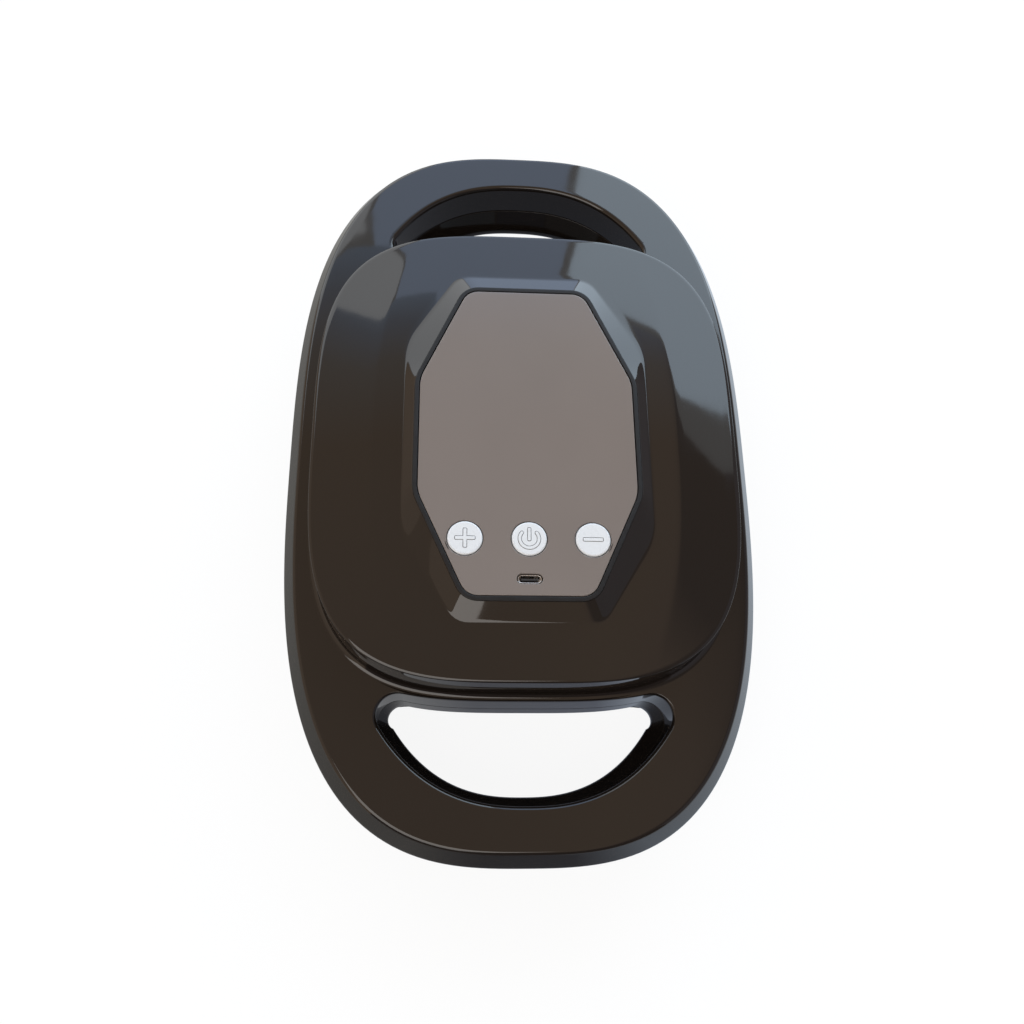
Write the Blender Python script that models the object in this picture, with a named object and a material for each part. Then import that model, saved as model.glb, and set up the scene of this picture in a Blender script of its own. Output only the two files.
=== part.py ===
"""A two-handed electric body massager: a long oval body with a finger hole at each end, a raised
housing with a tinted control panel on top, and five driven rollers of wooden balls underneath.

Units are metres. +Z is up and +Y runs along the body, away from the charging socket.
The origin is on the surface that the rollers stand on, under the middle of the body.
"""

import math

import bpy
from mathutils import Matrix, Vector
from mathutils.geometry import tessellate_polygon

# Clearances and small values shared by every piece
SEAT_GAP = 0.0003  # between two pieces that rest on or fit in each other
CUT_OVERRUN = 0.0010  # how far a cutter runs past the face that it opens
OUTLINE_STEPS = 13  # points in a quarter of a large outline
ROUND_STEPS = 12  # sides of a small round piece
PIN_STEPS = 10  # sides of a screw, a pin or their holes
ROLLER_STEPS = 12
BUTTON_STEPS = 24
MOTOR_STEPS = 16
HOLE_FILLET_STEPS = 2
SHARP_ANGLE = math.radians(35)  # a sharper edge than this stays crisp

# Rollers: balls turned on a wooden bar, with every second bar moved along by half a ball
ROLLER_COUNT = 5
BALL_RADIUS = 0.0180
BALL_SPACING = 0.0300
BALLS_PER_ROLLER = 4
BALL_PROFILE_STEPS = 6
AXLE_RADIUS = 0.0030
AXLE_HEAD_RADIUS = 0.0045
AXLE_HEAD_LENGTH = 0.0012
ROLLER_END_PLAY = 0.0008
ROLLER_CLEARANCE = 0.0015  # from a ball to the frame over it and beside it

# Gears: every roller gear and idler has the same teeth, and a larger gear brings the motor down
GEAR_MODULE = 0.0010
GEAR_TEETH = 17
TRANSFER_TEETH = 20
PRESSURE_ANGLE = math.radians(20)
TOOTH_BACKLASH = 0.00016
TOOTH_ROOT_DEPTH_SHARE = 1.25
TOOTH_TIP_HEIGHT_SHARE = 0.95
GEAR_WIDTH = 0.0060
GEAR_SIDE_GAP = 0.0010
GEAR_FLOOR_GAP = 0.0005
GEAR_PIN_RADIUS = 0.0020
GEAR_SHOULDER_RADIUS = 0.0036
AXLE_END_LENGTH = 0.0005

# Roller frame and its two bearing strips
RAIL_THICKNESS = 0.0040
FRAME_DECK_THICKNESS = 0.0025
FRAME_END_WALL = 0.0023
FRAME_FOOT_RISE = 0.0030
STRIP_THICKNESS = 0.0016
STRIP_HALF_HEIGHT = 0.0070
SLEEVE_WALL = 0.0016
STRIP_END_MARGIN = 0.0041
FRAME_POST_RADIUS = 0.0040
FRAME_POST_INSET = 0.0075
FRAME_POST_OVERHANG = 0.0020
BOARD_POST_RADIUS = 0.0025

# Lower body: skirt round the rollers and the lower half of the handles
SHELL_WALL = 0.0022
FLOOR_WALL = 0.0020
SKIRT_GAP = 0.0004
SKIRT_SIDE_ROOM = 0.0029
SKIRT_CORNER_RADIUS = 0.0130
SKIRT_DEPTH = 0.0178
SKIRT_TOP_FILLET = 0.0020
SKIRT_EDGE_CHAMFER = 0.0012
WINDOW_CORNER_RADIUS = 0.0030
LOWER_SHELL_DEPTH = 0.0133
HANDLE_UNDER_RADIUS = 0.0090
HANDLE_UNDER_STEPS = 3
RIM_DRAFT = 0.0006

# Upper body: rim, bevel, flat deck and the wall of the raised housing
RIM_RISE = 0.0077
RIM_BEVEL_HEIGHT = 0.0083
RIM_BEVEL_WIDTH = 0.0047
BODY_EXPONENT = 2.9
HOUSING_MARGIN_Y = 0.0026
HOUSING_MARGIN_X = 0.0036
HOUSING_EXPONENT = 3.46
HOUSING_WALL_HEIGHT = 0.0187
WALL_FLARE = 0.0030
WALL_LOW_FLARE = 0.0014
WALL_LOW_HEIGHT = 0.0015
WALL_MID_FLARE = 0.0006
WALL_MID_HEIGHT = 0.0050
SIDE_DECK_WIDTH = 0.0050
HANDLE_BAR_WIDTH = 0.0166

# Finger holes
HOLE_DEPTH = 0.0378
HOLE_LEDGE = 0.0006
HOLE_OUTER_HALF_WIDTH = 0.0760
HOLE_OUTER_EXPONENT = 2.5
HOLE_CORNER_RADIUS = 0.0080
HOLE_TOP_FILLET = 0.0018
GRIP_FILLET = 0.0040
GRIP_BULGE = 0.0052  # how far the lower half of a grip stands into its finger hole
GRIP_SLOPE_HEIGHT = 0.0075
GRIP_ROUND = 0.0040
GRIP_UNDERCUT = 0.0001  # the grip's rounding ends this far past the underside, for a clean cut
HOLE_INNER_CHAMFER = 0.0015
HOLE_CORNER_STEPS = 4
HOLE_INNER_STEPS = 4
HOLE_OUTER_STEPS = 7
HOLE_SEARCH_STEPS = 40  # halvings that find where the hole's two curves meet

# Top cover: a crowned lid with a raised eight-sided plateau for the panel
COVER_LIP = 0.0005
COVER_LIP_HEIGHT = 0.0010
COVER_EDGE_RADIUS = 0.0014
COVER_WALL = 0.0022
COVER_RIB_WALL = 0.0012
COVER_RIB_DEPTH = 0.0024
CROWN_RISE = 0.0018
CREASE_HALF_WIDTH = 0.0600
CREASE_END_DRAW = 0.0170
CREASE_EXPONENT = 2.6
CROWN_EXPONENT = 3.0
CREASE_EDGE_MARGIN = 0.0020
PLATEAU_HEIGHT = 0.0030
PLATEAU_RIM = 0.0022
PLATEAU_EDGE = 0.0003
FOOT_HALF_WIDTH = 0.0485
FOOT_HALF_LENGTH = 0.0745
FOOT_FLAT_HALF_WIDTH = 0.0275
FOOT_SHOULDER_Y = 0.0415
FOOT_CORNER_RADIUS = 0.0085
FOOT_SHOULDER_RADIUS = 0.0260

# Control panel
PANEL_HALF_WIDTH = 0.0420
PANEL_HALF_LENGTH = 0.0644
PANEL_FLAT_HALF_WIDTH = 0.0235
PANEL_SHOULDER_Y = 0.0240
PANEL_CORNER_RADIUS = 0.0070
PANEL_SHOULDER_RADIUS = 0.0160
PANEL_THICKNESS = 0.0025
PANEL_LEDGE = 0.0010
PANEL_LEDGE_THICKNESS = 0.0020

# Buttons and their switches
BUTTON_RADIUS = 0.0066
BUTTON_GAP = 0.0003
BUTTON_PITCH = 0.0240
BUTTON_Y = -0.0425
BUTTON_PROUD = 0.0004
BUTTON_TRAVEL = 0.0005
BUTTON_EDGE_ROUND = 0.0005
BUTTON_FLANGE = 0.0006
BUTTON_FLANGE_THICKNESS = 0.0012
SWITCH_HALF_SIDE = 0.0030
SWITCH_HEIGHT = 0.0030
PLUNGER_RADIUS = 0.0016
PLUNGER_SUNK_LENGTH = 0.0013

# Charging socket
SOCKET_Y = -0.0580
SOCKET_HALF_WIDTH = 0.00447
SOCKET_HALF_DEPTH = 0.00158
SOCKET_WALL = 0.0003
SOCKET_HEIGHT = 0.0080
SOCKET_FLOOR = 0.0010
SOCKET_SINK = 0.0008
SOCKET_HOLE_GAP = 0.00035
SOCKET_STEPS = 4
TONGUE_HALF_WIDTH = 0.0033
TONGUE_HALF_DEPTH = 0.00035
TONGUE_SINK = 0.0004

# Control board and its two screws
BOARD_HALF_WIDTH = 0.0330
BOARD_THICKNESS = 0.0016
BOARD_NEAR_EDGE = 0.0140  # from the socket to the near edge
BOARD_FAR_EDGE = 0.0200  # from the buttons to the far edge
BOARD_SCREW_SIDE_INSET = 0.0110
BOARD_SCREW_INSET = 0.0035
BOARD_BOSS_RADIUS = 0.0028
BOARD_SCREW_RADIUS = 0.0010
BOARD_SCREW_HEAD_RADIUS = 0.0020
BOARD_SCREW_HEAD_HEIGHT = 0.0012
BOARD_SCREW_GRIP = 0.0040

# Case screws
SCREW_RADIUS = 0.0014
SCREW_HEAD_RADIUS = 0.0028
SCREW_HEAD_HEIGHT = 0.0016
SCREW_HEAD_SINK = 0.0004
SCREW_SOCKET_SHARE = 0.75  # of the screw's radius
SCREW_SOCKET_DEPTH_SHARE = 0.55  # of its head's height
SCREW_FACE_SHARE = 0.8  # of its head's radius
SCREW_BOSS_RADIUS = 0.0048
SCREW_GRIP = 0.0060
SCREW_PAD_HEIGHT = 0.0015
SCREW_PAD_RADIUS = 0.0045
CASE_SCREW_RECESS = 0.0040
CASE_SCREW_SIDE_INSET = 0.0301  # from the body's widest line
CASE_SCREW_HOLE_INSET = 0.0264  # from the hand hole's outer edge

# Motor, its gearbox and its bracket
GEARBOX_RADIUS = 0.0125
GEARBOX_LENGTH = 0.0220
GEARBOX_BOSS_RADIUS = 0.0035
GEARBOX_BOSS_LENGTH = 0.0024
MOTOR_RADIUS = 0.0122
MOTOR_LENGTH = 0.0310
MOTOR_CAP_RADIUS = 0.0050
MOTOR_CAP_LENGTH = 0.0020
SHAFT_RADIUS = 0.0020
SHAFT_SUNK_LENGTH = 0.0080
BRACKET_THICKNESS = 0.0014
BRACKET_HALF_WIDTH = 0.0160
BRACKET_FOOT_LENGTH = 0.0180
BRACKET_TOP_MARGIN = 0.0010
BRACKET_BACKSET = 0.0060

# Battery: two cylindrical cells in a tray under a strap
CELL_RADIUS = 0.0091
CELL_LENGTH = 0.0650
CELL_GAP = 0.0013
CELL_CAP_RADIUS = 0.0030
CELL_CAP_HEIGHT = 0.0008
TRAY_WALL = 0.0012
TRAY_HEIGHT = 0.0110
TRAY_MOTOR_GAP = 0.0030
STRAP_THICKNESS = 0.0010
STRAP_HALF_WIDTH = 0.0080

# Leads between the board, the motor and the battery
LEAD_RADIUS = 0.0010
LEAD_STEPS = 5
LEAD_DROP = 0.0080
LEAD_BEND = 0.0060
LEAD_END_SHARE = 0.375  # of the drop

# Sizes that follow from the values above, from the rollers outwards
gear_radius = GEAR_MODULE * GEAR_TEETH / 2
gear_outer_radius = gear_radius + GEAR_MODULE * TOOTH_TIP_HEIGHT_SHARE
transfer_radius = GEAR_MODULE * TRANSFER_TEETH / 2
roller_spacing = 4 * gear_radius
axle_z = BALL_RADIUS
transfer_z = axle_z + gear_radius + transfer_radius
motor_z = transfer_z + transfer_radius + gear_radius
roller_rows = [(i - (ROLLER_COUNT - 1) / 2) * roller_spacing for i in range(ROLLER_COUNT)]
idler_rows = [(a + b) / 2 for a, b in zip(roller_rows, roller_rows[1:])]
sleeve_bore = AXLE_RADIUS + SEAT_GAP
sleeve_radius = sleeve_bore + SLEEVE_WALL

roller_half_length = BALL_SPACING * BALLS_PER_ROLLER / 2
strip_inner_x = roller_half_length + ROLLER_END_PLAY
strip_outer_x = strip_inner_x + STRIP_THICKNESS
rail_inner_x = strip_outer_x + SEAT_GAP
rail_outer_x = rail_inner_x + RAIL_THICKNESS
gear_inner_x = rail_outer_x + GEAR_SIDE_GAP
gear_outer_x = gear_inner_x + GEAR_WIDTH
axle_end_x = gear_outer_x + AXLE_END_LENGTH

field_half_length = roller_rows[-1] + BALL_RADIUS + ROLLER_CLEARANCE
frame_half_length = field_half_length + FRAME_END_WALL
skirt_half_length = frame_half_length + SKIRT_GAP + SHELL_WALL
skirt_half_width = axle_end_x + SKIRT_SIDE_ROOM + SHELL_WALL
housing_half_length = skirt_half_length + HOUSING_MARGIN_Y
housing_half_width = skirt_half_width + HOUSING_MARGIN_X
wall_foot_half_length = housing_half_length + WALL_FLARE
wall_foot_half_width = housing_half_width + WALL_FLARE
hole_inner_y = wall_foot_half_length + HOLE_LEDGE
hole_inner_half_width = wall_foot_half_width + HOLE_LEDGE
hole_outer_y = hole_inner_y + HOLE_DEPTH
deck_half_length = hole_outer_y + HANDLE_BAR_WIDTH
deck_half_width = wall_foot_half_width + SIDE_DECK_WIDTH
body_half_length = deck_half_length + RIM_BEVEL_WIDTH
body_half_width = deck_half_width + RIM_BEVEL_WIDTH

floor_top_z = axle_z - gear_outer_radius - GEAR_FLOOR_GAP
skirt_bottom_z = floor_top_z - FLOOR_WALL
handle_under_z = skirt_bottom_z + SKIRT_DEPTH
parting_z = handle_under_z + LOWER_SHELL_DEPTH
rim_z = parting_z + RIM_RISE
deck_z = rim_z + RIM_BEVEL_HEIGHT
seam_z = deck_z + HOUSING_WALL_HEIGHT
cover_edge_z = seam_z + COVER_EDGE_RADIUS
plateau_z = cover_edge_z + CROWN_RISE + PLATEAU_HEIGHT
frame_deck_under_z = axle_z + BALL_RADIUS + ROLLER_CLEARANCE
frame_deck_z = frame_deck_under_z + FRAME_DECK_THICKNESS

panel_under_z = plateau_z - PANEL_THICKNESS
ledge_z = panel_under_z - SEAT_GAP
ledge_under_z = ledge_z - PANEL_LEDGE_THICKNESS
socket_top_z = plateau_z - SOCKET_SINK
socket_bottom_z = socket_top_z - SOCKET_HEIGHT
board_z = socket_bottom_z - SEAT_GAP
board_under_z = board_z - BOARD_THICKNESS
switch_top_z = board_z + SEAT_GAP + SWITCH_HEIGHT
flange_top_z = panel_under_z - BUTTON_GAP
flange_under_z = flange_top_z - BUTTON_FLANGE_THICKNESS
plunger_top_z = flange_under_z - SEAT_GAP
plunger_bottom_z = switch_top_z - PLUNGER_SUNK_LENGTH
board_near_y = SOCKET_Y - BOARD_NEAR_EDGE
board_far_y = BUTTON_Y + BOARD_FAR_EDGE
board_head_z = board_under_z - SEAT_GAP - BOARD_SCREW_HEAD_HEIGHT
board_screw_x = BOARD_HALF_WIDTH - BOARD_SCREW_SIDE_INSET
board_post_x = BOARD_HALF_WIDTH - BOARD_SCREW_INSET
board_post_y = board_far_y - BOARD_SCREW_INSET
button_places = {"plus": -BUTTON_PITCH, "power": 0.0, "minus": BUTTON_PITCH}

frame_post_x = rail_outer_x + FRAME_POST_OVERHANG
frame_post_y = frame_half_length - FRAME_POST_INSET
frame_post_z = floor_top_z + SCREW_PAD_HEIGHT + SEAT_GAP
case_screw_x = body_half_width - CASE_SCREW_SIDE_INSET
case_screw_y = hole_outer_y - CASE_SCREW_HOLE_INSET
frame_head_z = skirt_bottom_z + SCREW_HEAD_SINK
case_head_z = handle_under_z + CASE_SCREW_RECESS

bracket_front_x = rail_outer_x - BRACKET_BACKSET
gearbox_front_x = bracket_front_x - BRACKET_THICKNESS - SEAT_GAP
gearbox_back_x = gearbox_front_x - GEARBOX_LENGTH
motor_back_x = gearbox_back_x - SEAT_GAP - MOTOR_LENGTH
cell_rows = [GEARBOX_RADIUS + TRAY_MOTOR_GAP + TRAY_WALL + SEAT_GAP + CELL_RADIUS]
cell_rows.append(cell_rows[0] + 2 * CELL_RADIUS + CELL_GAP)
cell_z = frame_deck_z + 2 * SEAT_GAP + TRAY_WALL + CELL_RADIUS


def clear_scene():
    for item in list(bpy.data.objects):
        bpy.data.objects.remove(item)


def material(name, colour, roughness, metallic=0.0):
    made = bpy.data.materials.get(name) or bpy.data.materials.new(name)
    made.use_nodes = True
    shader = made.node_tree.nodes["Principled BSDF"]
    shader.inputs["Base Color"].default_value = (*colour, 1)
    shader.inputs["Roughness"].default_value = roughness
    shader.inputs["Metallic"].default_value = metallic
    return made


def gloss_black():
    return material("gloss_black", (0.017, 0.015, 0.014), 0.12)


def panel_taupe():
    return material("panel_taupe", (0.210, 0.182, 0.160), 0.10)


def button_white():
    return material("button_white", (0.720, 0.720, 0.710), 0.35)


def turned_wood():
    return material("turned_wood", (0.560, 0.330, 0.150), 0.45)


def bright_steel():
    return material("bright_steel", (0.560, 0.570, 0.580), 0.25, 1.0)


def black_frame():
    return material("black_frame", (0.030, 0.030, 0.032), 0.50)


def pale_nylon():
    return material("pale_nylon", (0.780, 0.770, 0.720), 0.45)


def board_green():
    return material("board_green", (0.020, 0.130, 0.060), 0.40)


def cell_wrap():
    return material("cell_wrap", (0.050, 0.160, 0.380), 0.35)


def motor_zinc():
    return material("motor_zinc", (0.450, 0.450, 0.440), 0.35, 1.0)


def lead_red():
    return material("lead_red", (0.450, 0.030, 0.025), 0.45)


def switch_black():
    return material("switch_black", (0.025, 0.025, 0.025), 0.45)


def whole_outline(quarter):
    """A closed outline from its first quarter, which runs from the +X axis to the +Y axis."""
    left = [(-x, y) for x, y in reversed(quarter)]
    below = [(-x, -y) for x, y in quarter]
    right = [(x, -y) for x, y in reversed(quarter)]
    return quarter[:-1] + left[:-1] + below[:-1] + right[:-1]


def superellipse(half_x, half_y, exponent, inset=0):
    quarter = []
    for i in range(OUTLINE_STEPS + 1):
        angle = math.pi / 2 * i / OUTLINE_STEPS
        across = max(math.cos(angle), 0) ** (2 / exponent)
        along = math.sin(angle) ** (2 / exponent)
        quarter.append(((half_x - inset) * across, (half_y - inset) * along))
    quarter[-1] = (0, half_y - inset)
    return whole_outline(quarter)


def body_outline(inset):
    return superellipse(body_half_width, body_half_length, BODY_EXPONENT, inset)


def housing_outline(inset):
    return superellipse(housing_half_width, housing_half_length, HOUSING_EXPONENT, inset)


def rounded_rectangle(half_x, half_y, radius):
    """A rectangle with round corners, with as many points as a superellipse."""
    side_steps = OUTLINE_STEPS // 4
    arc_steps = OUTLINE_STEPS - 2 * side_steps
    quarter = [(half_x, (half_y - radius) * i / side_steps) for i in range(side_steps)]
    for i in range(arc_steps + 1):
        angle = math.pi / 2 * i / arc_steps
        across = half_x - radius + radius * math.cos(angle)
        quarter.append((across, half_y - radius + radius * math.sin(angle)))
    quarter += [((half_x - radius) * (1 - i / side_steps), half_y) for i in range(1, side_steps + 1)]
    return whole_outline(quarter)


def skirt_outline(inset):
    return rounded_rectangle(skirt_half_width - inset, skirt_half_length - inset, SKIRT_CORNER_RADIUS - inset)


def corner_arc(before, corner, after, radius, steps):
    """Points along the arc that rounds a polygon's corner."""
    corner = Vector(corner)
    arm_in = (Vector(before) - corner).normalized()
    arm_out = (Vector(after) - corner).normalized()
    half_angle = arm_in.angle(arm_out) / 2
    middle = corner + (arm_in + arm_out).normalized() * radius / math.sin(half_angle)
    start = corner + arm_in * radius / math.tan(half_angle) - middle
    end = corner + arm_out * radius / math.tan(half_angle) - middle
    sweep = start.angle(end)
    turned = [Matrix.Rotation(sweep * i / steps, 2) @ start for i in range(steps + 1)]
    return [tuple(middle + arm) for arm in turned]


def octagon(half_x, half_y, flat_x, shoulder_y, corner_radius, shoulder_radius, grow):
    """A long octagon with round corners, grown outwards all round, with a superellipse's points."""
    normal = Vector((half_y - shoulder_y, half_x - flat_x)).normalized()
    shoulder = (half_x + grow, shoulder_y + grow * (1 - normal.x) / normal.y)
    corner = (flat_x + grow * (1 - normal.y) / normal.x, half_y + grow)
    side = (half_x + grow, 0)
    end = (0, half_y + grow)
    steps = (OUTLINE_STEPS - 3) // 2
    quarter = [side]
    quarter += corner_arc(side, shoulder, corner, shoulder_radius + grow, steps)
    quarter += corner_arc(shoulder, corner, end, corner_radius + grow, steps)
    quarter.append(end)
    return whole_outline(quarter)


def panel_outline(grow=0):
    return octagon(PANEL_HALF_WIDTH, PANEL_HALF_LENGTH, PANEL_FLAT_HALF_WIDTH, PANEL_SHOULDER_Y,
                   PANEL_CORNER_RADIUS, PANEL_SHOULDER_RADIUS, grow)


def foot_outline(grow=0):
    return octagon(FOOT_HALF_WIDTH, FOOT_HALF_LENGTH, FOOT_FLAT_HALF_WIDTH, FOOT_SHOULDER_Y,
                   FOOT_CORNER_RADIUS, FOOT_SHOULDER_RADIUS, grow)


def ring(radius, steps, centre=(0, 0), turn=0.0):
    angles = [turn + 2 * math.pi * i / steps for i in range(steps)]
    return [(centre[0] + radius * math.cos(a), centre[1] + radius * math.sin(a)) for a in angles]


def box_outline(low_x, low_y, high_x, high_y):
    return [(low_x, low_y), (high_x, low_y), (high_x, high_y), (low_x, high_y)]


def lift(outline, height):
    return [(x, y, height) for x, y in outline]


def add_piece(name, points, faces, finish, along_x=False):
    """A named object from its points, which are turned from the Z axis to the X axis if asked."""
    if along_x:
        points = [(height, x, y) for x, y, height in points]
    mesh = bpy.data.meshes.new(name)
    mesh.from_pydata([tuple(p) for p in points], [], faces)
    mesh.shade_smooth()
    mesh.set_sharp_from_angle(angle=SHARP_ANGLE)
    mesh.materials.append(finish)
    piece = bpy.data.objects.new(name, mesh)
    bpy.context.scene.collection.objects.link(piece)
    return piece


def loft(name, rings, finish, closed=False, along_x=False):
    """A solid through rings of points, with capped ends, or with its last ring joined to its first."""
    count = len(rings[0])
    points = [point for one in rings for point in one]
    faces = []
    for i in range(len(rings) if closed else len(rings) - 1):
        low = i * count
        high = (i + 1) % len(rings) * count
        for j in range(count):
            k = (j + 1) % count
            faces.append((low + j, low + k, high + k, high + j))
    if not closed:
        faces.append(tuple(reversed(range(count))))
        faces.append(tuple(range(len(points) - count, len(points))))
    return add_piece(name, points, faces, finish, along_x)


def turned(name, profile, steps, finish, closed=False, along_x=False, turn=0.0):
    """A turned solid from a profile of heights and radii."""
    rings = [lift(ring(radius, steps, turn=turn), height) for height, radius in profile]
    return loft(name, rings, finish, closed, along_x)


def slab(name, outline, holes, low, high, finish, along_x=False):
    """A plate with holes that go right through it."""
    loops = [outline] + [list(reversed(hole)) for hole in holes]
    flat = [[Vector((x, y, 0)) for x, y in loop] for loop in loops]
    count = sum(len(loop) for loop in loops)
    points = [(x, y, height) for height in (low, high) for loop in loops for x, y in loop]
    faces = []
    start = 0
    for loop in loops:
        size = len(loop)
        for j in range(size):
            a = start + j
            b = start + (j + 1) % size
            faces.append((a, b, b + count, a + count))
        start += size
    triangles = tessellate_polygon(flat)
    corners = [[Vector(points[i][:2]) for i in triangle] for triangle in triangles]
    upright = sum((b - a).cross(c - a) for a, b, c in corners) > 0
    for a, b, c in triangles:
        if not upright:
            b, c = c, b
        faces.append((a + count, b + count, c + count))
        faces.append((c, b, a))
    return add_piece(name, points, faces, finish, along_x)


def combine(target, operation, tool):
    change = target.modifiers.new(tool.name, "BOOLEAN")
    change.operation = operation
    change.solver = "EXACT"
    change.object = tool
    tool.hide_render = True
    tool.display_type = "WIRE"


def join(target, tool):
    combine(target, "UNION", tool)


def cut(target, tool):
    combine(target, "DIFFERENCE", tool)


def cylinder(name, radius, low, high, steps, finish, centre=(0, 0, 0), along_x=False):
    piece = turned(name, [(low, radius), (high, radius)], steps, finish, along_x=along_x)
    piece.location = centre
    return piece


def height_of(outline_x, exponent, half_x, half_y):
    return half_y * (1 - (outline_x / half_x) ** exponent) ** (1 / exponent)


def edge_normal(x, y, half_x, half_y, exponent):
    across = (x / half_x) ** (exponent - 1) / half_x
    along = (y / half_y) ** (exponent - 1) / half_y
    return Vector((across, along)).normalized()


def hole_outline(grow_out, grow_in):
    """The finger hole at +Y, between the housing wall's foot and the grip, with round corners."""
    radius = HOLE_CORNER_RADIUS
    grip = (HOLE_OUTER_HALF_WIDTH - radius, hole_outer_y - radius, HOLE_OUTER_EXPONENT)
    foot = (hole_inner_half_width + radius, hole_inner_y + radius, HOUSING_EXPONENT)
    low, high = 0, grip[0]
    for _ in range(HOLE_SEARCH_STEPS):
        middle = (low + high) / 2
        if height_of(middle, grip[2], grip[0], grip[1]) > height_of(middle, foot[2], foot[0], foot[1]):
            low = middle
        else:
            high = middle
    corner = Vector((low, height_of(low, foot[2], foot[0], foot[1])))
    half = []
    for i in range(HOLE_OUTER_STEPS + 1):
        x = corner.x * math.sin(math.pi / 2 * i / HOLE_OUTER_STEPS)
        point = Vector((x, height_of(x, grip[2], grip[0], grip[1])))
        half.append(point + edge_normal(*point, *grip) * (radius + grow_out))
    grip_normal = edge_normal(*corner, *grip)
    foot_normal = -edge_normal(*corner, *foot)
    sweep = grip_normal.angle(foot_normal)
    for i in range(1, HOLE_CORNER_STEPS):
        share = i / HOLE_CORNER_STEPS
        arm = Matrix.Rotation(-sweep * share, 2) @ grip_normal
        half.append(corner + arm * (radius + grow_out + (grow_in - grow_out) * share))
    for i in range(HOLE_INNER_STEPS + 1):
        x = corner.x * (1 - i / HOLE_INNER_STEPS)
        point = Vector((x, height_of(x, foot[2], foot[0], foot[1])))
        half.append(point - edge_normal(*point, *foot) * (radius + grow_in))
    right = [tuple(point) for point in reversed(half)]
    left = [(-x, y) for x, y in half[1:-1]]
    return right + left


def mirrored(outline):
    """The same outline at -Y, still running counter-clockwise."""
    return [(-x, -y) for x, y in outline]


def grip_steps():
    """The finger hole's growth at its grip and its height, from the underside to the lower shell's top."""
    top_z = parting_z - SEAT_GAP
    low_z = handle_under_z - GRIP_UNDERCUT
    bar_high = (-GRIP_BULGE, top_z - GRIP_SLOPE_HEIGHT)
    bar_low = (-GRIP_BULGE, low_z)
    top = (0, top_z)
    steps = [(0, parting_z), top]
    steps += corner_arc(top, bar_high, bar_low, GRIP_ROUND, HOLE_FILLET_STEPS)
    steps += corner_arc(bar_high, bar_low, (0, low_z), GRIP_FILLET, HOLE_FILLET_STEPS)
    steps.append((steps[-1][0], handle_under_z - CUT_OVERRUN))
    return steps[::-1]


def deck_steps():
    """The finger hole's growth at its grip and its height, from the upper shell's foot to the deck."""
    steps = [(0, parting_z - CUT_OVERRUN)]
    for i in range(HOLE_FILLET_STEPS + 1):
        angle = math.pi / 2 * i / HOLE_FILLET_STEPS
        steps.append((HOLE_TOP_FILLET * (1 - math.cos(angle)), deck_z - HOLE_TOP_FILLET * (1 - math.sin(angle))))
    steps.append((HOLE_TOP_FILLET, deck_z + CUT_OVERRUN))
    return steps


def hole_pieces(name, wall_low, wall_high, target, steps):
    """Gives a shell a wall round each finger hole and opens the hole along its steps."""
    for end, place in (("far", list), ("near", mirrored)):
        rings = [lift(place(hole_outline(SHELL_WALL, SHELL_WALL)), z) for z in (wall_low, wall_high)]
        join(target, loft(name + "_" + end + "_wall", rings, gloss_black()))
    for end, place in (("far", list), ("near", mirrored)):
        rings = []
        for growth, height in steps:
            chamfer = HOLE_INNER_CHAMFER * min(max(1 - (height - handle_under_z) / GRIP_FILLET, 0), 1)
            rings.append(lift(place(hole_outline(growth, chamfer)), height))
        cut(target, loft(name + "_" + end + "_hole", rings, gloss_black()))


def upper_body():
    wall = SHELL_WALL
    rings = [lift(body_outline(RIM_DRAFT), parting_z),
             lift(body_outline(0), rim_z),
             lift(body_outline(RIM_BEVEL_WIDTH), deck_z)]
    flares = ((0, WALL_FLARE), (WALL_LOW_HEIGHT, WALL_LOW_FLARE), (WALL_MID_HEIGHT, WALL_MID_FLARE),
              (HOUSING_WALL_HEIGHT, 0))
    for height, flare in flares:
        rings.append(lift(housing_outline(-flare), deck_z + height))
    rings += [lift(housing_outline(wall), seam_z),
              lift(housing_outline(wall), deck_z - wall),
              lift(body_outline(RIM_BEVEL_WIDTH + wall / 2), deck_z - wall),
              lift(body_outline(wall), rim_z - wall / 4),
              lift(body_outline(RIM_DRAFT + wall), parting_z)]
    body = loft("upper_body", rings, gloss_black(), closed=True)
    for number, (x, y) in enumerate(case_screw_places(), 1):
        boss = cylinder("upper_boss_%d" % number, SCREW_BOSS_RADIUS, parting_z, deck_z - wall / 2, PIN_STEPS,
                        gloss_black(), (x, y, 0))
        join(body, boss)
    hole_pieces("upper", parting_z, deck_z - wall / 2, body, deck_steps())
    for number, (x, y) in enumerate(case_screw_places(), 1):
        cut(body, cylinder("upper_pilot_%d" % number, SCREW_RADIUS + SEAT_GAP, parting_z - CUT_OVERRUN,
                           parting_z + SCREW_GRIP + SEAT_GAP, PIN_STEPS, gloss_black(), (x, y, 0)))
    return body


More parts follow.
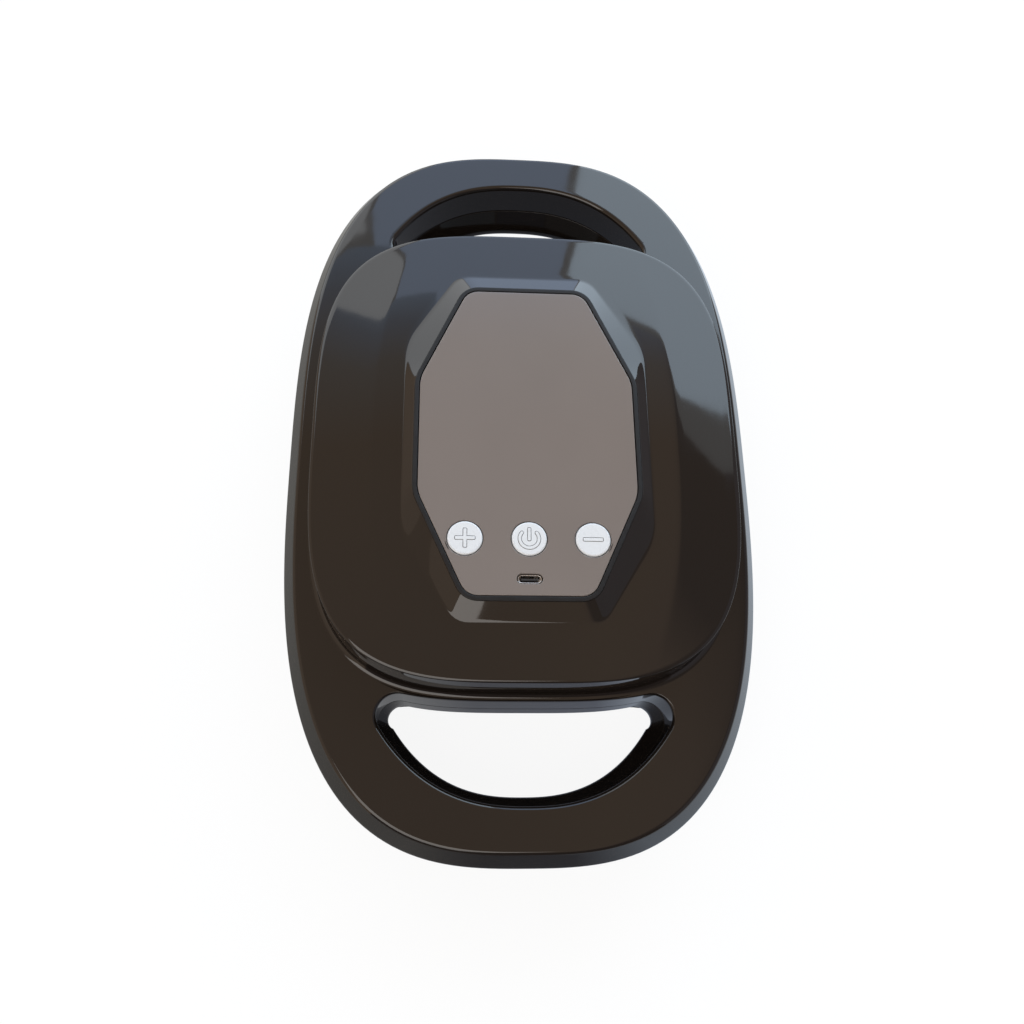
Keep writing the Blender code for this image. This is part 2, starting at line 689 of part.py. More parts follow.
def lower_body():
    wall = SHELL_WALL
    top_z = parting_z - SEAT_GAP
    outer = RIM_DRAFT
    round_radius = HANDLE_UNDER_RADIUS
    rings = [lift(body_outline(outer), top_z)]
    for i in range(HANDLE_UNDER_STEPS + 1):
        angle = math.pi / 2 * i / HANDLE_UNDER_STEPS
        rings.append(lift(body_outline(outer + round_radius * (1 - math.cos(angle))),
                          handle_under_z + round_radius * (1 - math.sin(angle))))
    rings += [lift(skirt_outline(-SKIRT_TOP_FILLET), handle_under_z),
              lift(skirt_outline(0), handle_under_z - SKIRT_TOP_FILLET),
              lift(skirt_outline(0), skirt_bottom_z + SKIRT_EDGE_CHAMFER),
              lift(skirt_outline(SKIRT_EDGE_CHAMFER), skirt_bottom_z)]
    window = rounded_rectangle(strip_inner_x, field_half_length, WINDOW_CORNER_RADIUS)
    rings += [lift(window, skirt_bottom_z),
              lift(window, floor_top_z),
              lift(skirt_outline(wall), floor_top_z),
              lift(skirt_outline(wall), handle_under_z + wall),
              lift(body_outline(outer + round_radius), handle_under_z + wall),
              lift(body_outline(outer + wall), handle_under_z + round_radius),
              lift(body_outline(outer + wall), top_z)]
    body = loft("lower_body", list(reversed(rings)), gloss_black(), closed=True)
    for number, (x, y) in enumerate(case_screw_places(), 1):
        join(body, cylinder("lower_boss_%d" % number, SCREW_BOSS_RADIUS, handle_under_z + wall / 2, top_z,
                            PIN_STEPS, gloss_black(), (x, y, 0)))
    for number, (x, y) in enumerate(frame_screw_places(), 1):
        join(body, cylinder("floor_pad_%d" % number, SCREW_PAD_RADIUS, floor_top_z - FLOOR_WALL / 2,
                            floor_top_z + SCREW_PAD_HEIGHT, PIN_STEPS, gloss_black(), (x, y, 0)))
    hole_pieces("lower", handle_under_z + wall / 2, top_z, body, grip_steps())
    for number, (x, y) in enumerate(case_screw_places(), 1):
        screw_hole(body, "case", number, x, y, handle_under_z, case_head_z, parting_z)
    for number, (x, y) in enumerate(frame_screw_places(), 1):
        screw_hole(body, "frame", number, x, y, skirt_bottom_z, frame_head_z, floor_top_z + SCREW_PAD_HEIGHT)
    return body


def screw_hole(target, name, number, x, y, low, head_z, high):
    """A stepped hole for a screw that goes in from below, with its head resting at head_z."""
    head_top = head_z + SCREW_HEAD_HEIGHT + SEAT_GAP
    profile = [(low - CUT_OVERRUN, SCREW_HEAD_RADIUS + SEAT_GAP), (head_top, SCREW_HEAD_RADIUS + SEAT_GAP),
               (head_top, SCREW_RADIUS + SEAT_GAP), (high + CUT_OVERRUN, SCREW_RADIUS + SEAT_GAP)]
    tool = turned("%s_hole_%d" % (name, number), profile, PIN_STEPS, gloss_black())
    tool.location = (x, y, 0)
    cut(target, tool)


def case_screw_places():
    return [(x, y) for y in (-case_screw_y, case_screw_y) for x in (-case_screw_x, case_screw_x)]


def frame_screw_places():
    return [(x, y) for y in (-frame_post_y, frame_post_y) for x in (-frame_post_x, frame_post_x)]


def board_screw_places():
    return [(x, board_near_y + BOARD_SCREW_INSET) for x in (-board_screw_x, board_screw_x)]


def screw(name, x, y, head_z, tip_z, radius, head_radius, head_height):
    """A pan-head screw with its head down, and a socket in the head."""
    socket_radius = radius * SCREW_SOCKET_SHARE
    socket_z = head_z + head_height * SCREW_SOCKET_DEPTH_SHARE
    profile = [(socket_z, socket_radius), (head_z, socket_radius), (head_z, head_radius * SCREW_FACE_SHARE),
               (head_z + head_height / 2, head_radius), (head_z + head_height, head_radius),
               (head_z + head_height, radius), (tip_z, radius)]
    piece = turned(name, profile, PIN_STEPS, bright_steel())
    piece.location = (x, y, 0)
    return piece


def screws():
    for number, (x, y) in enumerate(case_screw_places(), 1):
        screw("case_screw_%d" % number, x, y, case_head_z, parting_z + SCREW_GRIP, SCREW_RADIUS,
              SCREW_HEAD_RADIUS, SCREW_HEAD_HEIGHT)
    for number, (x, y) in enumerate(frame_screw_places(), 1):
        screw("frame_screw_%d" % number, x, y, frame_head_z, frame_post_z + SCREW_GRIP, SCREW_RADIUS,
              SCREW_HEAD_RADIUS, SCREW_HEAD_HEIGHT)
    for number, (x, y) in enumerate(board_screw_places(), 1):
        screw("board_screw_%d" % number, x, y, board_head_z, board_z + BOARD_SCREW_GRIP, BOARD_SCREW_RADIUS,
              BOARD_SCREW_HEAD_RADIUS, BOARD_SCREW_HEAD_HEIGHT)


def crown_z(y):
    """Height of the cover's crown, which falls to the edge at the front and back."""
    return cover_edge_z + CROWN_RISE * (1 - (abs(y) / housing_half_length) ** CROWN_EXPONENT)


def crease_point(x, y):
    """Where the crowned top turns down to the side facet, for a point on the cover's edge."""
    y *= 1 - CREASE_EDGE_MARGIN / housing_half_length
    limit = CREASE_HALF_WIDTH - CREASE_END_DRAW * (abs(y) / housing_half_length) ** CREASE_EXPONENT
    inside = min(abs(x) * (1 - CREASE_EDGE_MARGIN / housing_half_width), limit)
    return (math.copysign(inside, x), y)


def top_cover():
    edge = housing_outline(COVER_EDGE_RADIUS)
    crease = [crease_point(x, y) for x, y in edge]
    rib_outer = SHELL_WALL + SEAT_GAP
    rib_inner = rib_outer + COVER_RIB_WALL
    rest_z = seam_z + SEAT_GAP
    rib_z = seam_z - COVER_RIB_DEPTH
    under_z = cover_edge_z - COVER_WALL
    corner_inset = COVER_EDGE_RADIUS * (1 - math.sqrt(0.5))
    rings = [lift(housing_outline(-COVER_LIP), rest_z),
             lift(housing_outline(-COVER_LIP), rest_z + COVER_LIP_HEIGHT / 2),
             lift(housing_outline(corner_inset), cover_edge_z - corner_inset),
             lift(edge, cover_edge_z),
             [(x, y, crown_z(y)) for x, y in crease],
             [(x, y, crown_z(y)) for x, y in foot_outline()],
             lift(panel_outline(PLATEAU_RIM), plateau_z - PLATEAU_EDGE),
             lift(panel_outline(PLATEAU_RIM - PLATEAU_EDGE), plateau_z),
             lift(panel_outline(SEAT_GAP), plateau_z),
             lift(panel_outline(SEAT_GAP), ledge_z),
             lift(panel_outline(-PANEL_LEDGE), ledge_z),
             lift(panel_outline(-PANEL_LEDGE), ledge_under_z),
             lift(foot_outline(), crown_z(0) - COVER_WALL),
             lift(housing_outline(rib_inner), under_z),
             lift(housing_outline(rib_inner), rib_z),
             lift(housing_outline(rib_outer), rib_z),
             lift(housing_outline(rib_outer), rest_z)]
    cover = loft("top_cover", rings, gloss_black(), closed=True)
    for number, (x, y) in enumerate(board_screw_places(), 1):
        join(cover, cylinder("board_boss_%d" % number, BOARD_BOSS_RADIUS, board_z + SEAT_GAP,
                             crown_z(y) - COVER_WALL / 2, PIN_STEPS, gloss_black(), (x, y, 0)))
        cut(cover, cylinder("board_pilot_%d" % number, BOARD_SCREW_RADIUS + SEAT_GAP, board_z - CUT_OVERRUN,
                            board_z + BOARD_SCREW_GRIP + SEAT_GAP, PIN_STEPS, gloss_black(), (x, y, 0)))
    return cover


def socket_outline(grow):
    """The charging socket's outline: straight sides and round ends."""
    radius = SOCKET_HALF_DEPTH + grow
    reach = SOCKET_HALF_WIDTH - SOCKET_HALF_DEPTH
    outline = []
    for side in (1, -1):
        for i in range(SOCKET_STEPS + 1):
            angle = math.pi * i / SOCKET_STEPS - math.pi / 2
            across = side * (reach + radius * math.cos(angle))
            outline.append((across, SOCKET_Y + side * radius * math.sin(angle)))
    return outline


def control_panel():
    holes = [ring(BUTTON_RADIUS + BUTTON_GAP, BUTTON_STEPS, (x, BUTTON_Y)) for x in button_places.values()]
    holes.append(socket_outline(SOCKET_HOLE_GAP))
    return slab("control_panel", panel_outline(), holes, panel_under_z, plateau_z, panel_taupe())


def buttons():
    for name, x in button_places.items():
        top_z = plateau_z + BUTTON_PROUD
        flange_radius = BUTTON_RADIUS + BUTTON_FLANGE
        profile = [(flange_under_z, flange_radius), (flange_top_z, flange_radius),
                   (flange_top_z, BUTTON_RADIUS), (top_z - BUTTON_EDGE_ROUND, BUTTON_RADIUS),
                   (top_z, BUTTON_RADIUS - BUTTON_EDGE_ROUND)]
        profile = [(height - plateau_z, radius) for height, radius in profile]
        button = turned(name + "_button", profile, BUTTON_STEPS, button_white())
        button.location = (x, BUTTON_Y, plateau_z)
        depth = plunger_top_z - plunger_bottom_z
        plunger = cylinder(name + "_plunger", PLUNGER_RADIUS, -depth, 0, PIN_STEPS, switch_black())
        plunger.location = (x, BUTTON_Y, plunger_top_z)
        half = SWITCH_HALF_SIDE
        switch = slab(name + "_switch", box_outline(-half, -half, half, half), [], board_z + SEAT_GAP,
                      switch_top_z, bright_steel())
        switch.location = (x, BUTTON_Y, 0)
        well_z = plunger_bottom_z - BUTTON_TRAVEL - SEAT_GAP
        cut(switch, cylinder(name + "_well", PLUNGER_RADIUS + SEAT_GAP, well_z, switch_top_z + CUT_OVERRUN,
                             PIN_STEPS, switch_black(), (x, BUTTON_Y, 0)))


def control_board():
    holes = [ring(BOARD_SCREW_RADIUS + SEAT_GAP, PIN_STEPS, place) for place in board_screw_places()]
    outline = box_outline(-BOARD_HALF_WIDTH, board_near_y, BOARD_HALF_WIDTH, board_far_y)
    return slab("control_board", outline, holes, board_under_z, board_z, board_green())


def charging_socket():
    rings = [lift(socket_outline(0), socket_bottom_z), lift(socket_outline(0), socket_top_z),
             lift(socket_outline(-SOCKET_WALL), socket_top_z),
             lift(socket_outline(-SOCKET_WALL), socket_bottom_z + SOCKET_FLOOR)]
    loft("socket_shell", rings, bright_steel())
    low_y, high_y = SOCKET_Y - TONGUE_HALF_DEPTH, SOCKET_Y + TONGUE_HALF_DEPTH
    slab("socket_tongue", box_outline(-TONGUE_HALF_WIDTH, low_y, TONGUE_HALF_WIDTH, high_y), [],
         socket_bottom_z + SOCKET_FLOOR + SEAT_GAP, socket_top_z - TONGUE_SINK, switch_black())


def roller_profile(shifted):
    """Half widths of a bar of touching balls, each with its neck where two balls meet."""
    neck = math.sqrt(BALL_RADIUS ** 2 - (BALL_SPACING / 2) ** 2)
    neck_angle = math.acos(BALL_SPACING / 2 / BALL_RADIUS)
    profile = []
    for ball in range(BALLS_PER_ROLLER + (1 if shifted else 0)):
        centre = BALL_SPACING * (ball + (0 if shifted else 0.5)) - roller_half_length
        for i in range(BALL_PROFILE_STEPS):
            angle = math.pi - neck_angle - (math.pi - 2 * neck_angle) * i / BALL_PROFILE_STEPS
            place = centre + BALL_RADIUS * math.cos(angle)
            if abs(place) < roller_half_length - SEAT_GAP:
                profile.append((place, BALL_RADIUS * math.sin(angle)))
    end_radius = BALL_RADIUS if shifted else neck
    return [(-roller_half_length, end_radius)] + profile + [(roller_half_length, end_radius)]


def rollers():
    for number, y in enumerate(roller_rows, 1):
        bore = AXLE_RADIUS + SEAT_GAP
        profile = roller_profile(number % 2 == 0)
        profile += [(roller_half_length, bore), (-roller_half_length, bore)]
        roller = turned("roller_%d" % number, profile, ROLLER_STEPS, turned_wood(), closed=True, along_x=True,
                        turn=-math.pi / 2)
        roller.location = (0, y, axle_z)
        head_x = -rail_outer_x - SEAT_GAP
        profile = [(head_x - AXLE_HEAD_LENGTH, AXLE_HEAD_RADIUS), (head_x, AXLE_HEAD_RADIUS),
                   (head_x, AXLE_RADIUS), (axle_end_x, AXLE_RADIUS)]
        axle = turned("axle_%d" % number, profile, ROUND_STEPS, bright_steel(), along_x=True)
        axle.location = (0, y, axle_z)
        gear("roller_gear_%d" % number, GEAR_TEETH, y, axle_z, AXLE_RADIUS, 0.0)


def involute(angle):
    return math.tan(angle) - angle


def gear_outline(teeth, phase):
    """A spur gear with straight-flanked teeth between an involute's ends; phase turns its first tooth."""
    radius = GEAR_MODULE * teeth / 2
    base = radius * math.cos(PRESSURE_ANGLE)
    root = radius - GEAR_MODULE * TOOTH_ROOT_DEPTH_SHARE
    tip = radius + GEAR_MODULE * TOOTH_TIP_HEIGHT_SHARE
    root_half = math.pi / teeth / 2 + involute(PRESSURE_ANGLE) - TOOTH_BACKLASH / radius / 4
    tip_half = root_half - involute(math.acos(base / tip))
    outline = []
    for i in range(teeth):
        middle = phase + 2 * math.pi * i / teeth
        for away, reach in ((-root_half, root), (-tip_half, tip), (tip_half, tip), (root_half, root)):
            outline.append((reach * math.cos(middle + away), reach * math.sin(middle + away)))
    return outline


def gear(name, teeth, y, z, pin_radius, phase):
    """A gear in the gear case; phase is measured from +Y towards +Z."""
    bore = ring(pin_radius + SEAT_GAP, PIN_STEPS)
    piece = slab(name, gear_outline(teeth, phase), [bore], gear_inner_x, gear_outer_x, pale_nylon(),
                 along_x=True)
    piece.location = (0, y, z)
    return piece


def meshed_phase(phase, teeth, next_teeth, direction):
    """The phase at which a gear's gap faces its neighbour's tooth, with direction towards that gear."""
    return direction + math.pi - (math.pi - teeth * (direction - phase)) / next_teeth


def drive_gears():
    for number, y in enumerate(idler_rows, 1):
        gear("idler_gear_%d" % number, GEAR_TEETH, y, axle_z, GEAR_PIN_RADIUS, 0.0)
    upwards = math.pi / 2
    transfer_phase = meshed_phase(0.0, GEAR_TEETH, TRANSFER_TEETH, upwards)
    gear("transfer_gear", TRANSFER_TEETH, 0, transfer_z, GEAR_PIN_RADIUS, transfer_phase)
    pinion_phase = meshed_phase(transfer_phase, TRANSFER_TEETH, GEAR_TEETH, upwards)
    gear("drive_pinion", GEAR_TEETH, 0, motor_z, SHAFT_RADIUS, pinion_phase)


def bearing_strips():
    """A strip on each side with a sleeve for every axle, which passes through the rail."""
    half_length = roller_rows[-1] + sleeve_radius + STRIP_END_MARGIN
    low_z, high_z = axle_z - STRIP_HALF_HEIGHT, axle_z + STRIP_HALF_HEIGHT
    for name, side in (("bearing_strip_left", -1), ("bearing_strip_right", 1)):
        outline = box_outline(-half_length, low_z, half_length, high_z)
        low, high = sorted((side * strip_inner_x, side * strip_outer_x))
        strip = slab(name, outline, [], low, high, pale_nylon(), along_x=True)
        low, high = sorted((side * (strip_inner_x + strip_outer_x) / 2, side * rail_outer_x))
        for number, y in enumerate(roller_rows, 1):
            join(strip, cylinder("%s_sleeve_%d" % (name, number), sleeve_radius, low, high, ROUND_STEPS,
                                 pale_nylon(), (0, y, axle_z), along_x=True))
        low, high = sorted((side * (strip_inner_x - CUT_OVERRUN), side * (rail_outer_x + CUT_OVERRUN)))
        for number, y in enumerate(roller_rows, 1):
            cut(strip, cylinder("%s_bore_%d" % (name, number), sleeve_bore, low, high, ROUND_STEPS,
                                pale_nylon(), (0, y, axle_z), along_x=True))


def roller_frame():
    frame_low_z = floor_top_z + FRAME_FOOT_RISE
    outer = box_outline(-rail_outer_x, -frame_half_length, rail_outer_x, frame_half_length)
    inner = box_outline(-rail_inner_x, -field_half_length, rail_inner_x, field_half_length)
    frame = slab("roller_frame", outer, [], frame_low_z, frame_deck_z, black_frame())
    cut(frame, slab("frame_inside", inner, [], frame_low_z - CUT_OVERRUN, frame_deck_under_z, black_frame()))
    for number, (x, y) in enumerate(frame_screw_places(), 1):
        join(frame, cylinder("frame_post_%d" % number, FRAME_POST_RADIUS, frame_post_z,
                             frame_deck_z - FRAME_DECK_THICKNESS / 2, PIN_STEPS, black_frame(), (x, y, 0)))
        cut(frame, cylinder("frame_pilot_%d" % number, SCREW_RADIUS + SEAT_GAP, frame_post_z - CUT_OVERRUN,
                            frame_post_z + SCREW_GRIP + SEAT_GAP, PIN_STEPS, black_frame(), (x, y, 0)))
    cut_x = rail_outer_x + CUT_OVERRUN
    for number, y in enumerate(roller_rows, 1):
        cut(frame, cylinder("sleeve_hole_%d" % number, sleeve_radius + SEAT_GAP, -cut_x, cut_x, ROUND_STEPS,
                            black_frame(), (0, y, axle_z), along_x=True))
    pins = [(y, axle_z) for y in idler_rows] + [(0, transfer_z)]
    shoulder_x = gear_inner_x - SEAT_GAP
    for number, (y, z) in enumerate(pins, 1):
        profile = [(rail_outer_x - RAIL_THICKNESS / 2, GEAR_SHOULDER_RADIUS),
                   (shoulder_x, GEAR_SHOULDER_RADIUS), (shoulder_x, GEAR_PIN_RADIUS),
                   (axle_end_x, GEAR_PIN_RADIUS)]
        pin = turned("gear_pin_%d" % number, profile, PIN_STEPS, black_frame(), along_x=True)
        pin.location = (0, y, z)
        join(frame, pin)
    low_z = frame_deck_z - FRAME_DECK_THICKNESS / 2
    for number, x in enumerate((-board_post_x, board_post_x), 1):
        join(frame, cylinder("board_post_%d" % number, BOARD_POST_RADIUS, low_z, board_under_z - SEAT_GAP,
                             PIN_STEPS, black_frame(), (x, board_post_y, 0)))
    return frame


def drive_motor():
    centre = (0, 0, motor_z)
    boss_x = gearbox_front_x + GEARBOX_BOSS_LENGTH
    well_x = gearbox_front_x - SHAFT_SUNK_LENGTH
    profile = [(gearbox_back_x, GEARBOX_RADIUS), (gearbox_front_x, GEARBOX_RADIUS),
               (gearbox_front_x, GEARBOX_BOSS_RADIUS), (boss_x, GEARBOX_BOSS_RADIUS),
               (boss_x, SHAFT_RADIUS + SEAT_GAP), (well_x, SHAFT_RADIUS + SEAT_GAP)]
    gearbox = turned("gearbox", profile, MOTOR_STEPS, motor_zinc(), along_x=True)
    gearbox.location = centre
    profile = [(motor_back_x - MOTOR_CAP_LENGTH, MOTOR_CAP_RADIUS), (motor_back_x, MOTOR_CAP_RADIUS),
               (motor_back_x, MOTOR_RADIUS), (gearbox_back_x - SEAT_GAP, MOTOR_RADIUS)]
    motor = turned("motor", profile, MOTOR_STEPS, motor_zinc(), along_x=True)
    motor.location = centre
    shaft = cylinder("drive_shaft", SHAFT_RADIUS, well_x + SEAT_GAP, axle_end_x, PIN_STEPS, bright_steel(),
                     along_x=True)
    shaft.location = centre


def motor_bracket():
    """An angle bracket: a foot on the roller frame and an upright that the gearbox is fixed to."""
    low_z = frame_deck_z + SEAT_GAP
    foot_x = bracket_front_x - BRACKET_FOOT_LENGTH
    high_z = motor_z + GEARBOX_RADIUS + BRACKET_TOP_MARGIN
    half = BRACKET_HALF_WIDTH
    upright = [(-half, low_z), (half, low_z), (half, motor_z), (half / 2, high_z), (-half / 2, high_z),
               (-half, motor_z)]
    hole = ring(GEARBOX_BOSS_RADIUS + SEAT_GAP, PIN_STEPS, (0, motor_z))
    bracket = slab("motor_bracket", upright, [hole], bracket_front_x - BRACKET_THICKNESS, bracket_front_x,
                   bright_steel(), along_x=True)
    foot = box_outline(foot_x, -half, bracket_front_x - BRACKET_THICKNESS / 2, half)
    join(bracket, slab("bracket_foot", foot, [], low_z, low_z + BRACKET_THICKNESS, bright_steel()))
    return bracket


def battery():
    low_z = frame_deck_z + SEAT_GAP
    for number, y in enumerate(cell_rows, 1):
        half = CELL_LENGTH / 2
        profile = [(-half, CELL_RADIUS), (half, CELL_RADIUS), (half, CELL_CAP_RADIUS),
                   (half + CELL_CAP_HEIGHT, CELL_CAP_RADIUS)]
        cell = turned("battery_cell_%d" % number, profile, MOTOR_STEPS, cell_wrap(), along_x=True)
        cell.location = (0, y, cell_z)
    inner_x = CELL_LENGTH / 2 + CELL_CAP_HEIGHT + SEAT_GAP
    inner_low, inner_high = cell_rows[0] - CELL_RADIUS - SEAT_GAP, cell_rows[1] + CELL_RADIUS + SEAT_GAP
    outer_x = inner_x + TRAY_WALL
    outer_low, outer_high = inner_low - TRAY_WALL, inner_high + TRAY_WALL
    tray = slab("battery_tray", box_outline(-outer_x, outer_low, outer_x, outer_high), [], low_z,
                low_z + TRAY_HEIGHT, black_frame())
    inside = box_outline(-inner_x, inner_low, inner_x, inner_high)
    cut(tray, slab("tray_inside", inside, [], low_z + TRAY_WALL, low_z + TRAY_HEIGHT + CUT_OVERRUN,
                   black_frame()))
    leg_low, leg_high = outer_low - SEAT_GAP, outer_high + SEAT_GAP
    over_z = cell_z + CELL_RADIUS + SEAT_GAP
    strap = [(leg_low - STRAP_THICKNESS, low_z), (leg_low, low_z), (leg_low, over_z), (leg_high, over_z),
             (leg_high, low_z), (leg_high + STRAP_THICKNESS, low_z),
             (leg_high + STRAP_THICKNESS, over_z + STRAP_THICKNESS),
             (leg_low - STRAP_THICKNESS, over_z + STRAP_THICKNESS)]
    slab("battery_strap", strap, [], -STRAP_HALF_WIDTH, STRAP_HALF_WIDTH, bright_steel(), along_x=True)


def lead(name, points, finish):
    """A round lead along a smooth curve through its points, with straight ends."""
    curve = bpy.data.curves.new(name, "CURVE")
    curve.dimensions = "3D"
    curve.bevel_depth = LEAD_RADIUS
    curve.bevel_resolution = 1
    curve.use_fill_caps = True
    line = curve.splines.new("POLY")
    route = [Vector(point) for point in points]
    places = [route[0]]
    for a, b, c, d in zip(route, route[1:], route[2:], route[3:]):
        for i in range(LEAD_STEPS):
            t = i / LEAD_STEPS
            places.append(b + (c - a) * t / 2 + (a * 2 - b * 5 + c * 4 - d) * t * t / 2
                          + (b * 3 - a - c * 3 + d) * t ** 3 / 2)
    places += route[-2:]
    line.points.add(len(places) - 1)
    for point, place in zip(line.points, places):
        point.co = (*place, 1)
    curve.materials.append(finish)
    piece = bpy.data.objects.new(name, curve)
    bpy.context.scene.collection.objects.link(piece)
    return piece


def leads():
    start_z = board_under_z - SEAT_GAP
    end_x = motor_back_x - MOTOR_CAP_LENGTH - SEAT_GAP
    drop = Vector((0, 0, LEAD_DROP))
    motor_start = Vector((end_x - LEAD_BEND - LEAD_DROP, board_far_y - LEAD_DROP, start_z))
    bend = (end_x - LEAD_BEND - LEAD_DROP / 2, -LEAD_DROP / 2, motor_z + LEAD_DROP / 4)
    lead("motor_lead", [motor_start, motor_start - drop, bend, (end_x - LEAD_BEND / 2, 0, motor_z),
                        (end_x, 0, motor_z)], lead_red())
    battery_start = motor_start - Vector((LEAD_BEND, 0, 0))
    over_z = cell_z + CELL_RADIUS + 2 * SEAT_GAP
    cell_top = Vector((battery_start.x, cell_rows[0], over_z))
    hump = (battery_start.x, (cell_rows[0] + board_far_y) / 2, over_z + LEAD_DROP / 2)
    lead("battery_lead", [battery_start, battery_start - drop / 2, hump, cell_top + drop * LEAD_END_SHARE,
                          cell_top], lead_red())


def main():
    clear_scene()
    upper_body()
    lower_body()
    top_cover()
    control_panel()
    buttons()
    control_board()
    charging_socket()
    rollers()
    drive_gears()
    bearing_strips()
    roller_frame()
    drive_motor()
    motor_bracket()
    battery()
    leads()
    screws()


main()
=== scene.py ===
"""The looks of a two-handed electric body massager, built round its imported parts.

Metres, +Z up, in the parts' own frame. The shells, the panel, the buttons, the socket and the
rollers are rebuilt as smooth closed meshes at the parts' sizes. Every other part keeps its solid
and gets a finish of its own.
"""
import math
from functools import cache

import bmesh
import bpy
from mathutils import Matrix, Vector
from mathutils.geometry import tessellate_polygon

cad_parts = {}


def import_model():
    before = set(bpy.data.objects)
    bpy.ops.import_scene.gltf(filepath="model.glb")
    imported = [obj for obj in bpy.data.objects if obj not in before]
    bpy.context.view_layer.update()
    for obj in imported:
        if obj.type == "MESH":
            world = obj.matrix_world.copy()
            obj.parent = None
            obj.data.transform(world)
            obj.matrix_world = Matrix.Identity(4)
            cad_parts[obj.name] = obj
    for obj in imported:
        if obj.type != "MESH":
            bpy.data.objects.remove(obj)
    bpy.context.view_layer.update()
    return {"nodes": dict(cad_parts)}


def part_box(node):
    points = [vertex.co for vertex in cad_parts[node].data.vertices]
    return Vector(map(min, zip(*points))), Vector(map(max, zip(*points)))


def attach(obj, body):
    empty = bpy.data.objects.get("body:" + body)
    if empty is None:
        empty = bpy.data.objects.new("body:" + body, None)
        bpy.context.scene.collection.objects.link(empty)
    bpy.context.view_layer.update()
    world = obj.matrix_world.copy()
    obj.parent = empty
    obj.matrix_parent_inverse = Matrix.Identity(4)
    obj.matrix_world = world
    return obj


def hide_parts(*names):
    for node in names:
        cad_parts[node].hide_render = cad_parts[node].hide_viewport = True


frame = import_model()
nodes = frame["nodes"]

# Sizes read from the frame
upper_low, upper_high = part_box("upper_body")
lower_low, lower_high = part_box("lower_body")
cover_low, cover_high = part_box("top_cover")
panel_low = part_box("control_panel")[0]

# Counts of points
QUARTER_STEPS = 65  # odd, so that the octagons have as many points
SKIRT_ARC_STEPS = 10
HOLE_OUTER_STEPS = 36
HOLE_CORNER_STEPS = 14
HOLE_INNER_STEPS = 26
HOLE_SEARCH_STEPS = 40
ROUND_STEPS = 6
UNDER_STEPS = 10
SMALL_STEPS = 3
FACET_STEPS = 8
CROWN_STEPS = 8
SLOPE_STEPS = 12
WELL_STEPS = 32
OCTAGON_ARC_STEPS = 24
SLOT_STEPS = 12
BUTTON_STEPS = 96
GLYPH_ARC_STEPS = 5
RING_STEPS = 48
BALL_STEPS = 18
ROLLER_STEPS = 64
RAY_SAMPLES = 1500

# Walls and gaps, as the parts have them
SEAT_GAP = 0.0003
SHELL_WALL = 0.0022
FLAT_MARGIN = 0.0012  # a narrow flat strip beside each fillet, which keeps the shading clean
TINY_RADIUS = 0.0004

# Rim and deck of the body
RIM_DRAFT = 0.0006
RIM_RISE = 0.0077
RIM_BEVEL_HEIGHT = 0.0083
RIM_BEVEL_WIDTH = 0.0047
RIM_EDGE_RADIUS = 0.0030
DECK_EDGE_RADIUS = 0.0020
BODY_EXPONENT = 2.9

# Wall of the raised housing
HOUSING_EXPONENT = 3.46
WALL_FLARE = 0.0030
WALL_DRAFT = 0.0008
WALL_FILLET_RADIUS = 0.0022

# Top cover
COVER_LIP = 0.0005
COVER_LIP_HEIGHT = 0.0002
COVER_EDGE_RADIUS = 0.0014
COVER_WALL = 0.0022
COVER_RIB_WALL = 0.0012
CROWN_RISE = 0.0018
CROWN_EXPONENT = 3.0
CREASE_HALF_WIDTH = 0.0600
CREASE_END_DRAW = 0.0170
CREASE_EXPONENT = 2.6
CREASE_EDGE_MARGIN = 0.0020
CREASE_SOFTNESS = 0.0012
PLATEAU_RIM = 0.0022
PLATEAU_EDGE = 0.0004
FOOT_HALF_WIDTH = 0.0485
FOOT_HALF_LENGTH = 0.0745
FOOT_FLAT_HALF_WIDTH = 0.0275
FOOT_SHOULDER_Y = 0.0415
FOOT_CORNER_RADIUS = 0.0085
FOOT_SHOULDER_RADIUS = 0.0260
SLOPE_FOOT_SHARE = 0.16  # of the slope's width that its concave foot takes
CREASE_RING_SHARE = 0.04  # of the way from the crease to the next ring of points

# Control panel
PANEL_HALF_WIDTH = 0.0420
PANEL_HALF_LENGTH = 0.0644
PANEL_FLAT_HALF_WIDTH = 0.0235
PANEL_SHOULDER_Y = 0.0240
PANEL_CORNER_RADIUS = 0.0070
PANEL_SHOULDER_RADIUS = 0.0160
PANEL_EDGE_RADIUS = 0.00025
PANEL_LEDGE = 0.0010
PANEL_LEDGE_THICKNESS = 0.0020

# Buttons and their raised marks
BUTTON_RADIUS = 0.0066
BUTTON_GAP = 0.0003
BUTTON_PITCH = 0.0240
BUTTON_Y = -0.0425
BUTTON_FLANGE = 0.0006
BUTTON_EDGE_RADIUS = 0.0006
GLYPH_PROUD = 0.00012
GLYPH_EDGE = 0.00006
GLYPH_CORNER_RADIUS = 0.0003
GROOVE_WIDTH = 0.00024
GROOVE_DEPTH = 0.00018
PLUS_HALF_LENGTH = 0.0037
PLUS_HALF_WIDTH = 0.00062
POWER_RADIUS = 0.0036
POWER_HALF_WIDTH = 0.00055
POWER_GAP_ANGLE = math.radians(50)
POWER_BAR_HALF_LENGTH = 0.0025
POWER_BAR_Y = 0.0017

# Charging socket
SOCKET_Y = -0.0580
SOCKET_HALF_WIDTH = 0.00447
SOCKET_HALF_DEPTH = 0.00158
SOCKET_WALL = 0.0003
SOCKET_FLOOR = 0.0010
SOCKET_HOLE_GAP = 0.00035
SOCKET_EDGE_RADIUS = 0.0001
TONGUE_EDGE = 0.0001

